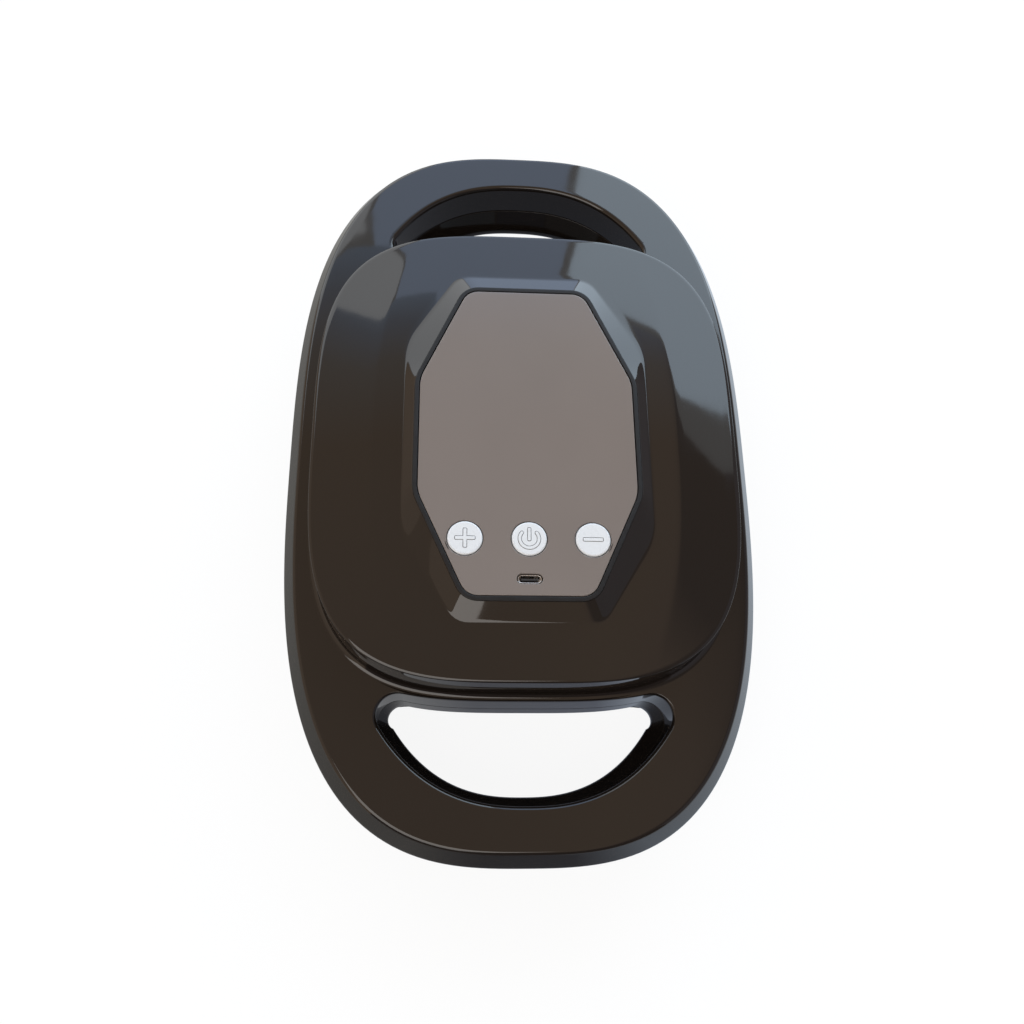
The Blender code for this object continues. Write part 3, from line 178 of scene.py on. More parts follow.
# Rollers
ROLLER_COUNT = 5
BALL_RADIUS = 0.0180
BALL_SPACING = 0.0300
BALLS_PER_ROLLER = 4
AXLE_BORE = 0.0033

# Lower body
FLOOR_WALL = 0.0020
LOWER_SHELL_DEPTH = 0.0133
HANDLE_UNDER_RADIUS = 0.0090
SKIRT_HALF_WIDTH = 0.0793
SKIRT_HALF_LENGTH = 0.0924
SKIRT_CORNER_RADIUS = 0.0130
SKIRT_TOP_FILLET = 0.0020
SKIRT_EDGE_RADIUS = 0.0012
WINDOW_HALF_WIDTH = 0.0608
WINDOW_HALF_LENGTH = 0.0875
WINDOW_CORNER_RADIUS = 0.0030

# Finger holes
HOLE_LEDGE = 0.0006
HOLE_DEPTH = 0.0378
HOLE_OUTER_HALF_WIDTH = 0.0760
HOLE_OUTER_EXPONENT = 2.5
HOLE_CORNER_RADIUS = 0.0080
HOLE_TOP_FILLET = 0.0018
HOLE_TOP_INNER_FILLET = 0.0003
GRIP_FILLET = 0.0040
GRIP_BULGE = 0.0052
GRIP_SLOPE_HEIGHT = 0.0075
GRIP_ROUND = 0.0040
HOLE_INNER_CHAMFER = 0.0015

# Screw wells
SCREW_SHANK_RADIUS = 0.0017
SCREW_WELL_RADIUS = 0.0031
SCREW_BOSS_RADIUS = 0.0048
SCREW_PAD_RADIUS = 0.0045
SCREW_PAD_HEIGHT = 0.0015
SCREW_HEAD_HEIGHT = 0.0016
SCREWS_EACH = 4
SHARP_ANGLE = math.radians(38)

# Camera, floor and room
CAMERA_PLACE = Vector((-0.0327, -0.1654, 0.4284))
CAMERA_RIGHT = (0.99741, -0.00935, 0.07139)
CAMERA_UP = (-0.01664, 0.93475, 0.35483)
CAMERA_BACKWARD = (-0.07004, -0.35510, 0.93217)
CAMERA_LENS = 35.156
CAMERA_SENSOR = 36.0
FLOOR_REACH = 4.0
ROOM_NEAR = (0.50, 0.47, 0.44)
ROOM_FAR = (0.58, 0.61, 0.64)
FLOOR_GLOW_SHARE = 0.90
FLOOR_GLOSS_SHARE = 0.40
ROOM_NEAR_REACH = 2.0
ROOM_FAR_REACH = 1.8
ROOM_HALF_WIDTH = 1.9
ROOM_HEIGHT = 2.4
WINDOW_ANGLE = 50  # degrees on each side of straight behind
WINDOW_MIDDLE = 1.4
WINDOW_HEIGHT = 2.6
WINDOW_RISE = 0.22  # how much nearer the ceiling ends on the right
# Painted reflection overhead: a glowing board that lights nothing and that only the object's gloss
# mirrors, warm at the front, bluish-bright towards the windows and dimmer on the right
REFLECTED_CEILING_TONE = (0.38, 0.28, 0.20)
REFLECTED_CEILING_STRENGTH = 2.0
REFLECTED_CEILING_ALONG = ((0.0, (0.36, 0.27, 0.20)), (0.60, (0.38, 0.28, 0.20)), (0.78, (0.42, 0.38, 0.34)),
                 (0.90, (0.44, 0.50, 0.60)), (1.0, (0.60, 0.76, 0.98)))
REFLECTED_CEILING_ACROSS = ((0.0, (1.0, 1.0, 1.0)), (0.5, (0.88, 0.88, 0.90)), (0.62, (1.0, 1.0, 1.0)),
                  (0.68, (0.95, 0.95, 1.0)), (0.76, (0.42, 0.45, 0.55)), (1.0, (0.40, 0.42, 0.48)))
# Painted reflection below: a glowing board just over the floor that only gloss mirrors, darkest under the
# object as a painted shadow, brighter towards both sides and bluish on the right
REFLECTED_TABLE_HEIGHT = 0.0002
REFLECTED_TABLE_RADIUS = 1.2
REFLECTED_TABLE_SPAN = 0.30
PAINTED_TABLE_REFLECTION = ((0.0, (0.95, 0.95, 0.92)), (0.20, (0.50, 0.49, 0.46)), (0.36, (0.50, 0.50, 0.49)),
                (0.47, (0.20, 0.21, 0.24)), (0.56, (0.20, 0.22, 0.27)), (0.66, (0.75, 0.86, 1.0)),
                (1.0, (0.95, 1.0, 1.0)))
# Painted reflections at the sides from glowing boards that only gloss mirrors: warm on the left, grey on
# the right, and nearly black in front as painted shade
LEFT_REFLECTION_TONE = (0.95, 0.72, 0.54)
RIGHT_REFLECTION_TONE = (0.40, 0.37, 0.40)
NEAR_PAINTED_SHADE_TONE = (0.16, 0.13, 0.13)
WINDOW_REACH = 1.95
WINDOWS = (("left_window", math.radians(-29), 1.43, (1.6, 1.7, 1.8)),
           ("middle_window", math.radians(1), 0.63, (0.7, 1.1, 1.8)),
           ("right_window", math.radians(30.5), 1.38, (2.5, 3.2, 3.9)))
FILL_PLACE = (-0.5, -0.9, 1.5)
FILL_AIM = (0, 0, 0.05)
FILL_SIDE = 1.2
FILL_POWER = 14
FILL_COLOUR = (1.0, 0.96, 0.92)

# Heights and half sizes that follow
parting_z = upper_low.z
lower_top_z = lower_high.z
seam_z = upper_high.z
skirt_bottom_z = lower_low.z
plateau_z = cover_high.z
panel_under_z = panel_low.z
rim_z = parting_z + RIM_RISE
deck_z = rim_z + RIM_BEVEL_HEIGHT
deck_under_z = deck_z - SHELL_WALL
handle_under_z = parting_z - LOWER_SHELL_DEPTH
handle_floor_z = handle_under_z + SHELL_WALL
floor_top_z = skirt_bottom_z + FLOOR_WALL
button_places = {"plus": -BUTTON_PITCH, "power": 0.0, "minus": BUTTON_PITCH}
cover_edge_z = seam_z + COVER_EDGE_RADIUS
ledge_z = panel_under_z - SEAT_GAP
body_half_width = upper_high.x
body_half_length = upper_high.y
housing_half_width = cover_high.x - COVER_LIP
housing_half_length = cover_high.y - COVER_LIP
hole_inner_half_width = housing_half_width + WALL_FLARE + HOLE_LEDGE
hole_inner_y = housing_half_length + WALL_FLARE + HOLE_LEDGE
hole_outer_y = hole_inner_y + HOLE_DEPTH


def even_rays(half_x, half_y, exponent):
    """Directions of one quarter that step evenly along a superellipse."""
    angles = [math.pi / 2 * i / RAY_SAMPLES for i in range(RAY_SAMPLES + 1)]
    points = [Vector(ray_point(half_x, half_y, exponent, angle)) for angle in angles]
    lengths = [0.0]
    for a, b in zip(points, points[1:]):
        lengths.append(lengths[-1] + (b - a).length)
    rays = []
    k = 0
    for i in range(QUARTER_STEPS + 1):
        target = lengths[-1] * i / QUARTER_STEPS
        while k < RAY_SAMPLES - 1 and lengths[k + 1] < target:
            k += 1
        share = (target - lengths[k]) / (lengths[k + 1] - lengths[k])
        rays.append(angles[k] + (angles[k + 1] - angles[k]) * share)
    return rays


def ray_point(half_x, half_y, exponent, angle):
    across, along = max(math.cos(angle), 0), math.sin(angle)
    reach = ((across / half_x) ** exponent + (along / half_y) ** exponent) ** (-1 / exponent)
    return (reach * across, reach * along)


def whole_outline(quarter):
    """A closed outline from its first quarter, which runs from the +X axis to the +Y axis."""
    left = [(-x, y) for x, y in reversed(quarter)]
    below = [(-x, -y) for x, y in quarter]
    right = [(x, -y) for x, y in reversed(quarter)]
    return quarter[:-1] + left[:-1] + below[:-1] + right[:-1]


body_rays = even_rays(body_half_width, body_half_length, BODY_EXPONENT)
housing_rays = even_rays(housing_half_width, housing_half_length, HOUSING_EXPONENT)


def superellipse(half_x, half_y, exponent, rays):
    quarter = [ray_point(half_x, half_y, exponent, angle) for angle in rays]
    quarter[-1] = (0, half_y)
    return whole_outline(quarter)


def body_outline(inset):
    return superellipse(body_half_width - inset, body_half_length - inset, BODY_EXPONENT, body_rays)


def housing_outline(inset):
    return superellipse(housing_half_width - inset, housing_half_length - inset, HOUSING_EXPONENT,
                        housing_rays)


def fillet(before, corner, after, radius, steps):
    """Points along the arc that rounds a corner between two straight runs."""
    corner = Vector(corner)
    if not radius:
        return [tuple(corner)]
    arm_in = (Vector(before) - corner).normalized()
    arm_out = (Vector(after) - corner).normalized()
    half_angle = arm_in.angle(arm_out) / 2
    middle = corner + (arm_in + arm_out).normalized() * radius / math.sin(half_angle)
    start = corner + arm_in * radius / math.tan(half_angle) - middle
    end = corner + arm_out * radius / math.tan(half_angle) - middle
    sweep = start.angle(end)
    points = []
    for i in range(steps + 1):
        share = i / steps
        arm = start * math.sin(sweep * (1 - share)) + end * math.sin(sweep * share)
        points.append(tuple(middle + arm / math.sin(sweep)))
    return points


def rounded_path(corners, steps=ROUND_STEPS):
    """A profile through (inset, height, radius) corners, with an arc at each that has a radius."""
    path = []
    for i, (inset, height, radius) in enumerate(corners):
        before = corners[max(i - 1, 0)][:2]
        after = corners[min(i + 1, len(corners) - 1)][:2]
        path += fillet(before, (inset, height), after, radius, steps)
    return path


def rounded_rectangle(half_x, half_y, radius):
    """A rectangle with round corners, stepped along its sides as finely as round them."""
    quarter = []
    for i in range(SKIRT_ARC_STEPS):
        quarter.append((half_x, (half_y - radius) * i / SKIRT_ARC_STEPS))
    quarter += fillet((half_x, 0), (half_x, half_y), (0, half_y), radius, SKIRT_ARC_STEPS)
    for i in range(1, SKIRT_ARC_STEPS + 1):
        quarter.append(((half_x - radius) * (1 - i / SKIRT_ARC_STEPS), half_y))
    return whole_outline(quarter)


def skirt_outline(inset):
    return rounded_rectangle(SKIRT_HALF_WIDTH - inset, SKIRT_HALF_LENGTH - inset,
                             SKIRT_CORNER_RADIUS - inset)


def window_outline():
    return rounded_rectangle(WINDOW_HALF_WIDTH, WINDOW_HALF_LENGTH, WINDOW_CORNER_RADIUS)


def circle(radius, steps, centre=(0, 0)):
    angles = [2 * math.pi * i / steps for i in range(steps)]
    return [(centre[0] + radius * math.cos(a), centre[1] + radius * math.sin(a)) for a in angles]


def mirrored(outline):
    """The same outline turned round to -Y."""
    return [(-x, -y) for x, y in outline]


def height_of(x, half_x, half_y, exponent):
    """The height of a superellipse over a place on its width."""
    return half_y * (1 - (x / half_x) ** exponent) ** (1 / exponent)


def edge_normal(x, y, half_x, half_y, exponent):
    across = (x / half_x) ** (exponent - 1) / half_x
    along = (y / half_y) ** (exponent - 1) / half_y
    return Vector((across, along)).normalized()


def hole_outline(grow_out, grow_in):
    """The finger hole at +Y, between the housing wall's foot and the grip, with round corners."""
    radius = HOLE_CORNER_RADIUS
    grip = (HOLE_OUTER_HALF_WIDTH - radius, hole_outer_y - radius, HOLE_OUTER_EXPONENT)
    foot = (hole_inner_half_width + radius, hole_inner_y + radius, HOUSING_EXPONENT)
    low, high = 0, grip[0]
    for _ in range(HOLE_SEARCH_STEPS):
        middle = (low + high) / 2
        if height_of(middle, *grip) > height_of(middle, *foot):
            low = middle
        else:
            high = middle
    corner = Vector((low, height_of(low, *foot)))
    half = []
    for i in range(HOLE_OUTER_STEPS + 1):
        x = corner.x * math.sin(math.pi / 2 * i / HOLE_OUTER_STEPS)
        point = Vector((x, height_of(x, *grip)))
        half.append(point + edge_normal(*point, *grip) * (radius + grow_out))
    grip_normal = edge_normal(*corner, *grip)
    foot_normal = -edge_normal(*corner, *foot)
    sweep = grip_normal.angle(foot_normal)
    for i in range(1, HOLE_CORNER_STEPS):
        share = i / HOLE_CORNER_STEPS
        arm = Matrix.Rotation(-sweep * share, 2) @ grip_normal
        half.append(corner + arm * (radius + grow_out + (grow_in - grow_out) * share))
    for i in range(HOLE_INNER_STEPS + 1):
        x = corner.x * (1 - i / HOLE_INNER_STEPS)
        point = Vector((x, height_of(x, *foot)))
        half.append(point - edge_normal(*point, *foot) * (radius + grow_in))
    right = [tuple(point) for point in reversed(half)]
    left = [(-x, y) for x, y in half[1:-1]]
    return right + left


class Skin:
    """A closed surface put together from rings of points."""

    def __init__(self):
        self.points = []
        self.faces = []

    def loop(self, points):
        """Adds points in space and gives their numbers."""
        start = len(self.points)
        self.points += points
        return list(range(start, len(self.points)))

    def ring(self, outline, height):
        """Adds an outline at a height, or at a height worked out from each point's place."""
        return self.loop([(x, y, height(x, y) if callable(height) else height) for x, y in outline])

    def bridge(self, *rings):
        for low, high in zip(rings, rings[1:]):
            for j in range(len(low)):
                k = (j + 1) % len(low)
                self.faces.append((low[j], low[k], high[k], high[j]))

    def fill(self, outer, *holes):
        """Covers the flat between an outer ring and the rings inside it."""
        loops = [outer, *holes]
        flat = [[Vector((*self.points[i][:2], 0)) for i in loop] for loop in loops]
        order = [i for loop in loops for i in loop]
        for a, b, c in tessellate_polygon(flat):
            corners = [Vector(self.points[order[i]][:2]) for i in (a, b, c)]
            if abs((corners[1] - corners[0]).cross(corners[2] - corners[0])) > 0:
                self.faces.append((order[a], order[b], order[c]))

    def sweep(self, outline_at, path):
        """Rings of one family of outlines along a profile of insets and heights."""
        rings = [self.ring(outline_at(inset), height) for inset, height in path]
        self.bridge(*rings)
        return rings[0], rings[-1]

    def mesh(self, name):
        made = bpy.data.meshes.new(name)
        made.from_pydata(self.points, [], self.faces)
        work = bmesh.new()
        work.from_mesh(made)
        bmesh.ops.recalc_face_normals(work, faces=work.faces)
        for edge in work.edges:
            edge.smooth = edge.calc_face_angle(0) < SHARP_ANGLE
        for face in work.faces:
            face.smooth = True
        work.to_mesh(made)
        work.free()
        return made


def added(name, data):
    """A new object in the scene for a mesh, a lamp or a camera."""
    made = bpy.data.objects.new(name, data)
    bpy.context.scene.collection.objects.link(made)
    return made


def two_finishes(mesh, main, other, faces):
    """Gives a mesh its main material, and another one on some of its faces."""
    mesh.materials.append(main)
    mesh.materials.append(other)
    for number in faces:
        mesh.polygons[number].material_index = 1


def place(mesh, body, slot, material, *replaced):
    """Puts a mesh in the scene on its body, in its material, and hides the parts it stands for."""
    piece = added(mesh.name, mesh)
    if not mesh.materials:
        mesh.materials.append(material)
    shading = piece.modifiers.new("even_shading", "WEIGHTED_NORMAL")
    shading.mode = "FACE_AREA_WITH_ANGLE"
    shading.keep_sharp = True
    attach(piece, body)
    if replaced:
        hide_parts(*replaced)
    return piece


def screw_well(skin, x, y, low_z, ceiling_z, rise_z, top_z, outer_radius):
    """A screw's stepped hole from below and its boss or pad above, as its mouth and its foot."""
    def step(radius, height):
        return skin.ring(circle(radius, WELL_STEPS, (x, y)), height)

    mouth = step(SCREW_WELL_RADIUS + TINY_RADIUS, low_z)
    foot = step(outer_radius, rise_z)
    skin.bridge(mouth, step(SCREW_WELL_RADIUS, low_z + TINY_RADIUS), step(SCREW_WELL_RADIUS, ceiling_z),
                step(SCREW_SHANK_RADIUS, ceiling_z), step(SCREW_SHANK_RADIUS, top_z),
                step(outer_radius, top_z), foot)
    return mouth, foot


def hole_wall(skin, place_outline, path):
    """Rings of a finger hole from (outer growth, inner growth, height) steps."""
    rings = [skin.ring(place_outline(hole_outline(outer, inner)), height)
             for outer, inner, height in path]
    skin.bridge(*rings)
    return rings[0], rings[-1]


def upper_body():
    """The rim, the deck with its two finger holes, and the wall of the raised housing."""
    skin = Skin()
    rim = rounded_path([(RIM_DRAFT + SHELL_WALL, parting_z, 0), (RIM_DRAFT, parting_z, TINY_RADIUS),
                        (0, rim_z, RIM_EDGE_RADIUS), (RIM_BEVEL_WIDTH, deck_z, DECK_EDGE_RADIUS),
                        (RIM_BEVEL_WIDTH + 2 * DECK_EDGE_RADIUS, deck_z, 0)])
    inner_foot, deck_edge = skin.sweep(body_outline, rim)
    inner = [(RIM_BEVEL_WIDTH + SHELL_WALL / 2, deck_under_z), (SHELL_WALL, rim_z - SHELL_WALL / 4)]
    under_edge, inner_end = skin.sweep(body_outline, inner)
    skin.bridge(inner_end, inner_foot)

    wall = rounded_path([(-WALL_FLARE, deck_z, 0), (-WALL_DRAFT, deck_z, WALL_FILLET_RADIUS),
                         (0, seam_z, TINY_RADIUS), (SHELL_WALL, seam_z, 0),
                         (SHELL_WALL, deck_under_z, 0)])
    wall_foot, inner_wall_foot = skin.sweep(housing_outline, wall)

    deck_holes, under_holes = [], []
    for place_outline in (list, mirrored):
        path = [(SHELL_WALL, SHELL_WALL, deck_under_z), (SHELL_WALL, SHELL_WALL, parting_z),
                (TINY_RADIUS, TINY_RADIUS, parting_z), (0, 0, parting_z + TINY_RADIUS)]
        for i in range(ROUND_STEPS + 1):
            angle = math.pi / 2 * i / ROUND_STEPS
            run = 1 - math.cos(angle)
            height = deck_z - HOLE_TOP_FILLET * (1 - math.sin(angle))
            path.append((HOLE_TOP_FILLET * run, HOLE_TOP_INNER_FILLET * run, height))
        path.append((HOLE_TOP_FILLET + FLAT_MARGIN, HOLE_TOP_INNER_FILLET, deck_z))
        under, top = hole_wall(skin, place_outline, path)
        under_holes.append(under)
        deck_holes.append(top)
    skin.fill(deck_edge, wall_foot, *deck_holes)
    skin.fill(under_edge, inner_wall_foot, *under_holes)
    place(skin.mesh("upper_shell"), "casing", "shell", gloss_black(), "upper_body")


def lower_body():
    """The lower halves of the rim and the handles, and the skirt round the rollers."""
    skin = Skin()
    outer = RIM_DRAFT
    rim = rounded_path([(outer + SHELL_WALL, lower_top_z, 0), (outer, lower_top_z, TINY_RADIUS),
                        (outer, handle_under_z, HANDLE_UNDER_RADIUS),
                        (outer + HANDLE_UNDER_RADIUS + 2 * FLAT_MARGIN, handle_under_z, 0)], UNDER_STEPS)
    inner_top, under_edge = skin.sweep(body_outline, rim)
    inner = [(outer + HANDLE_UNDER_RADIUS, handle_floor_z),
             (outer + SHELL_WALL, handle_under_z + HANDLE_UNDER_RADIUS)]
    floor_edge, inner_end = skin.sweep(body_outline, inner)
    skin.bridge(inner_end, inner_top)

    skirt = rounded_path([(-SKIRT_TOP_FILLET - FLAT_MARGIN, handle_under_z, 0),
                          (0, handle_under_z, SKIRT_TOP_FILLET),
                          (0, skirt_bottom_z, SKIRT_EDGE_RADIUS),
                          (SKIRT_EDGE_RADIUS + FLAT_MARGIN, skirt_bottom_z, 0)])
    skirt_top, skirt_edge = skin.sweep(skirt_outline, skirt)
    inner = [(SHELL_WALL, handle_floor_z), (SHELL_WALL, floor_top_z)]
    inner_skirt_top, inner_skirt_foot = skin.sweep(skirt_outline, inner)
    window_low = skin.ring(window_outline(), skirt_bottom_z)
    window_high = skin.ring(window_outline(), floor_top_z)
    skin.bridge(window_low, window_high)

    def chamfer_at(height):
        """How far the hole's inner side has drawn back at a height."""
        drop = min(max(1 - (height - handle_under_z) / GRIP_FILLET, 0), 1)
        return HOLE_INNER_CHAMFER * (1 - math.sqrt(1 - drop ** 2))

    grip = rounded_path([(TINY_RADIUS, lower_top_z, 0), (0, lower_top_z, TINY_RADIUS / 2),
                         (-GRIP_BULGE, lower_top_z - GRIP_SLOPE_HEIGHT, GRIP_ROUND),
                         (-GRIP_BULGE, handle_under_z, GRIP_FILLET),
                         (FLAT_MARGIN + GRIP_FILLET - GRIP_BULGE, handle_under_z, 0)], UNDER_STEPS)
    under_holes, floor_holes = [], []
    for place_outline in (list, mirrored):
        path = [(SHELL_WALL, SHELL_WALL, handle_floor_z), (SHELL_WALL, SHELL_WALL, lower_top_z)]
        path += [(growth, chamfer_at(height), height) for growth, height in grip]
        top, bottom = hole_wall(skin, place_outline, path)
        floor_holes.append(top)
        under_holes.append(bottom)

    def wells(prefix, low_z, rise_z, top_z, outer_radius):
        places = screw_places(prefix)
        made = [screw_well(skin, x, y, low_z, head_z + SCREW_HEAD_HEIGHT + SEAT_GAP, rise_z, top_z,
                           outer_radius) for x, y, head_z in places]
        return zip(*made)

    case_mouths, case_feet = wells("case_screw_", handle_under_z, handle_floor_z, lower_top_z,
                                   SCREW_BOSS_RADIUS)
    frame_mouths, frame_feet = wells("frame_screw_", skirt_bottom_z, floor_top_z,
                                     floor_top_z + SCREW_PAD_HEIGHT, SCREW_PAD_RADIUS)
    skin.fill(under_edge, skirt_top, *under_holes, *case_mouths)
    skin.fill(floor_edge, inner_skirt_top, *floor_holes, *case_feet)
    skin.fill(skirt_edge, window_low, *frame_mouths)
    skin.fill(inner_skirt_foot, window_high, *frame_feet)
    place(skin.mesh("lower_shell"), "casing", "shell", gloss_black(), "lower_body")


def screw_places(prefix):
    """The middle and the lowest point of each screw whose name starts with a prefix."""
    places = []
    for number in range(1, SCREWS_EACH + 1):
        low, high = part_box(prefix + str(number))
        places.append(((low.x + high.x) / 2, (low.y + high.y) / 2, low.z))
    return places


def on_rays(quarter):
    """Moves the points of a quarter onto the housing's directions, so that rings match."""
    quarter = [Vector(point) for point in quarter]
    moved = []
    k = 0
    for ray in housing_rays:
        direction = Vector((max(math.cos(ray), 0), math.sin(ray)))
        while k < len(quarter) - 2 and quarter[k + 1].cross(direction) > 0:
            k += 1
        run = quarter[k + 1] - quarter[k]
        share = -quarter[k].cross(direction) / run.cross(direction)
        moved.append(tuple(quarter[k] + run * min(max(share, 0), 1)))
    return moved


def octagon(half_x, half_y, flat_x, shoulder_y, corner_radius, shoulder_radius, grow):
    """A long octagon with round corners, grown outwards all round."""
    normal = Vector((half_y - shoulder_y, half_x - flat_x)).normalized()
    shoulder = (half_x + grow, shoulder_y + grow * (1 - normal.x) / normal.y)
    corner = (flat_x + grow * (1 - normal.y) / normal.x, half_y + grow)
    side = (half_x + grow, 0)
    end = (0, half_y + grow)
    quarter = [side]
    quarter += fillet(side, shoulder, corner, shoulder_radius + grow, OCTAGON_ARC_STEPS)
    quarter += fillet(shoulder, corner, end, corner_radius + grow, OCTAGON_ARC_STEPS)
    quarter.append(end)
    return whole_outline(on_rays(quarter))


def panel_outline(grow=0):
    return octagon(PANEL_HALF_WIDTH, PANEL_HALF_LENGTH, PANEL_FLAT_HALF_WIDTH, PANEL_SHOULDER_Y,
                   PANEL_CORNER_RADIUS, PANEL_SHOULDER_RADIUS, grow)


def foot_outline(grow=0):
    return octagon(FOOT_HALF_WIDTH, FOOT_HALF_LENGTH, FOOT_FLAT_HALF_WIDTH, FOOT_SHOULDER_Y,
                   FOOT_CORNER_RADIUS, FOOT_SHOULDER_RADIUS, grow)


def crease_x(y):
    """Half the width between the two creases, which draw in towards the ends."""
    return CREASE_HALF_WIDTH - CREASE_END_DRAW * (abs(y) / housing_half_length) ** CREASE_EXPONENT


def crease_point(x, y):
    """Where the crowned top turns down to the side facet, for a point on the cover's edge."""
    y *= 1 - CREASE_EDGE_MARGIN / housing_half_length
    inside = min(abs(x) * (1 - CREASE_EDGE_MARGIN / housing_half_width), crease_x(y))
    return (math.copysign(inside, x), y)


def cover_height(x, y):
    """Height of the crowned cover, which falls to its edge along two side facets and at both ends."""
    x, y = abs(x), abs(y)
    half_x, half_y = housing_half_width - COVER_EDGE_RADIUS, housing_half_length - COVER_EDGE_RADIUS
    if y >= half_y:
        return cover_edge_z
    edge_x = height_of(y, half_y, half_x, HOUSING_EXPONENT)
    limit = crease_x(y)
    fall = 1.0
    if edge_x > limit:
        width = edge_x - limit
        soft = CREASE_SOFTNESS / width
        share = max(edge_x - x, 0) / width
        if share < 1 - soft:
            fall = share
        elif share < 1 + soft:
            fall = 1 - (1 + soft - share) ** 2 / (4 * soft)
    end_y = height_of(min(x, limit, edge_x), half_x, half_y, HOUSING_EXPONENT)
    along = min(y / end_y, 1)
    return cover_edge_z + CROWN_RISE * (1 - along ** CROWN_EXPONENT) * fall


def between(low, high, share):
    return [(a[0] + (b[0] - a[0]) * share, a[1] + (b[1] - a[1]) * share) for a, b in zip(low, high)]


def top_cover():
    """The crowned lid with its side facets, and the eight-sided plateau that holds the panel."""
    skin = Skin()
    edge = housing_outline(COVER_EDGE_RADIUS)
    crease = [crease_point(x, y) for x, y in edge]
    foot = foot_outline()
    rib_outer = SHELL_WALL + SEAT_GAP
    rib_inner = rib_outer + COVER_RIB_WALL
    rest_z = seam_z + SEAT_GAP
    rib_z = cover_low.z

    inner = [(rib_inner, cover_edge_z - COVER_WALL), (rib_inner, rib_z), (rib_outer, rib_z),
             (rib_outer, rest_z), (-COVER_LIP + COVER_LIP_HEIGHT, rest_z),
             (-COVER_LIP, rest_z + COVER_LIP_HEIGHT)]
    lip_z = rest_z + 2 * COVER_LIP_HEIGHT
    for i in range(ROUND_STEPS):
        angle = math.pi / 2 * i / ROUND_STEPS
        inner.append((COVER_EDGE_RADIUS - (COVER_EDGE_RADIUS + COVER_LIP) * math.cos(angle),
                      lip_z + (cover_edge_z - lip_z) * math.sin(angle)))
    under_end, lip_top = skin.sweep(housing_outline, inner)

    rings = [lip_top]
    for i in range(FACET_STEPS):
        rings.append(skin.ring(between(edge, crease, i / FACET_STEPS), cover_height))
    for share in (1 - CREASE_RING_SHARE, 1):
        rings.append(skin.ring(between(edge, crease, share), cover_height))
    rings.append(skin.ring(between(crease, foot, CREASE_RING_SHARE), cover_height))
    for i in range(1, CROWN_STEPS):
        rings.append(skin.ring(between(crease, foot, i / CROWN_STEPS), cover_height))
    skin.bridge(*rings)

    top = panel_outline(PLATEAU_RIM)
    slope_top_z = plateau_z - PLATEAU_EDGE
    slope = [rings[-1]]
    heights = [cover_height(x, y) for x, y in foot]
    bend = 1 / (SLOPE_FOOT_SHARE ** 2 + 2 * SLOPE_FOOT_SHARE * (1 - SLOPE_FOOT_SHARE))
    for i in range(SLOPE_STEPS + 1):
        share = i / SLOPE_STEPS
        if share < SLOPE_FOOT_SHARE:
            climb = bend * share ** 2
        else:
            climb = 1 - 2 * bend * SLOPE_FOOT_SHARE * (1 - share)
        slope.append(skin.loop([(x, y, z + (slope_top_z - z) * climb)
                                for (x, y), z in zip(between(foot, top, share), heights)]))
    skin.bridge(*slope)

    frame_path = []
    for i in range(SMALL_STEPS + 1):
        angle = math.pi / 4 * (1 + i / SMALL_STEPS)
        frame_path.append((PLATEAU_RIM + PLATEAU_EDGE * (math.cos(angle) - 1),
                           plateau_z + PLATEAU_EDGE * (math.sin(angle) - 1)))
    frame_path += rounded_path([(PLATEAU_RIM - 2 * PLATEAU_EDGE, plateau_z, 0),
                                (SEAT_GAP, plateau_z, PANEL_EDGE_RADIUS),
                                (SEAT_GAP, ledge_z, 0), (-PANEL_LEDGE, ledge_z, 0),
                                (-PANEL_LEDGE, ledge_z - PANEL_LEDGE_THICKNESS, 0)], SMALL_STEPS)
    first = len(skin.faces)
    frame_start, ledge_end = skin.sweep(panel_outline, frame_path)
    last = len(skin.faces)
    under_foot = skin.ring(foot, cover_edge_z + CROWN_RISE - COVER_WALL)
    skin.bridge(slope[-1], frame_start)
    skin.bridge(ledge_end, under_foot, under_end)
    made = skin.mesh("cover_shell")
    two_finishes(made, gloss_black(), panel_surround(), range(first, last))
    place(made, "casing", "shell", gloss_black(), "top_cover")


def slot_outline(grow):
    """The charging socket's outline: straight sides and round ends."""
    radius = SOCKET_HALF_DEPTH + grow
    reach = SOCKET_HALF_WIDTH - SOCKET_HALF_DEPTH
    outline = []
    for side in (1, -1):
        for i in range(SLOT_STEPS + 1):
            angle = math.pi * i / SLOT_STEPS - math.pi / 2
            across = side * (reach + radius * math.cos(angle))
            outline.append((across, SOCKET_Y + side * radius * math.sin(angle)))
    return outline


def control_panel():
    """The tinted gloss panel, with softened edges, three button holes and the socket's slot."""
    skin = Skin()
    side = rounded_path([(0, panel_under_z, 0), (0, plateau_z, PANEL_EDGE_RADIUS),
                         (-PANEL_EDGE_RADIUS - FLAT_MARGIN, plateau_z, 0)], SMALL_STEPS)
    bottom, top = skin.sweep(panel_outline, side)
    low_holes, top_holes = [], []
    path = rounded_path([(0, panel_under_z, 0), (0, plateau_z, PANEL_EDGE_RADIUS),
                         (PANEL_EDGE_RADIUS + TINY_RADIUS, plateau_z, 0)], SMALL_STEPS)
    shapes = [lambda grow, x=x: circle(BUTTON_RADIUS + BUTTON_GAP + grow, BUTTON_STEPS, (x, BUTTON_Y))
              for x in button_places.values()]
    shapes.append(lambda grow: slot_outline(SOCKET_HOLE_GAP + grow))
    for shape in shapes:
        low, high = skin.sweep(shape, path)
        low_holes.append(low)
        top_holes.append(high)
    skin.fill(top, *top_holes)
    skin.fill(bottom, *low_holes)
    place(skin.mesh("panel"), "casing", "panel", tinted_gloss(), "control_panel")


def rounded_polygon(corners):
    """A closed outline through (x, y, radius) corners, with an arc at each that has a radius."""
    outline = []
    for i, (x, y, radius) in enumerate(corners):
        after = corners[(i + 1) % len(corners)][:2]
        outline += fillet(corners[i - 1][:2], (x, y), after, radius, GLYPH_ARC_STEPS)
    return outline


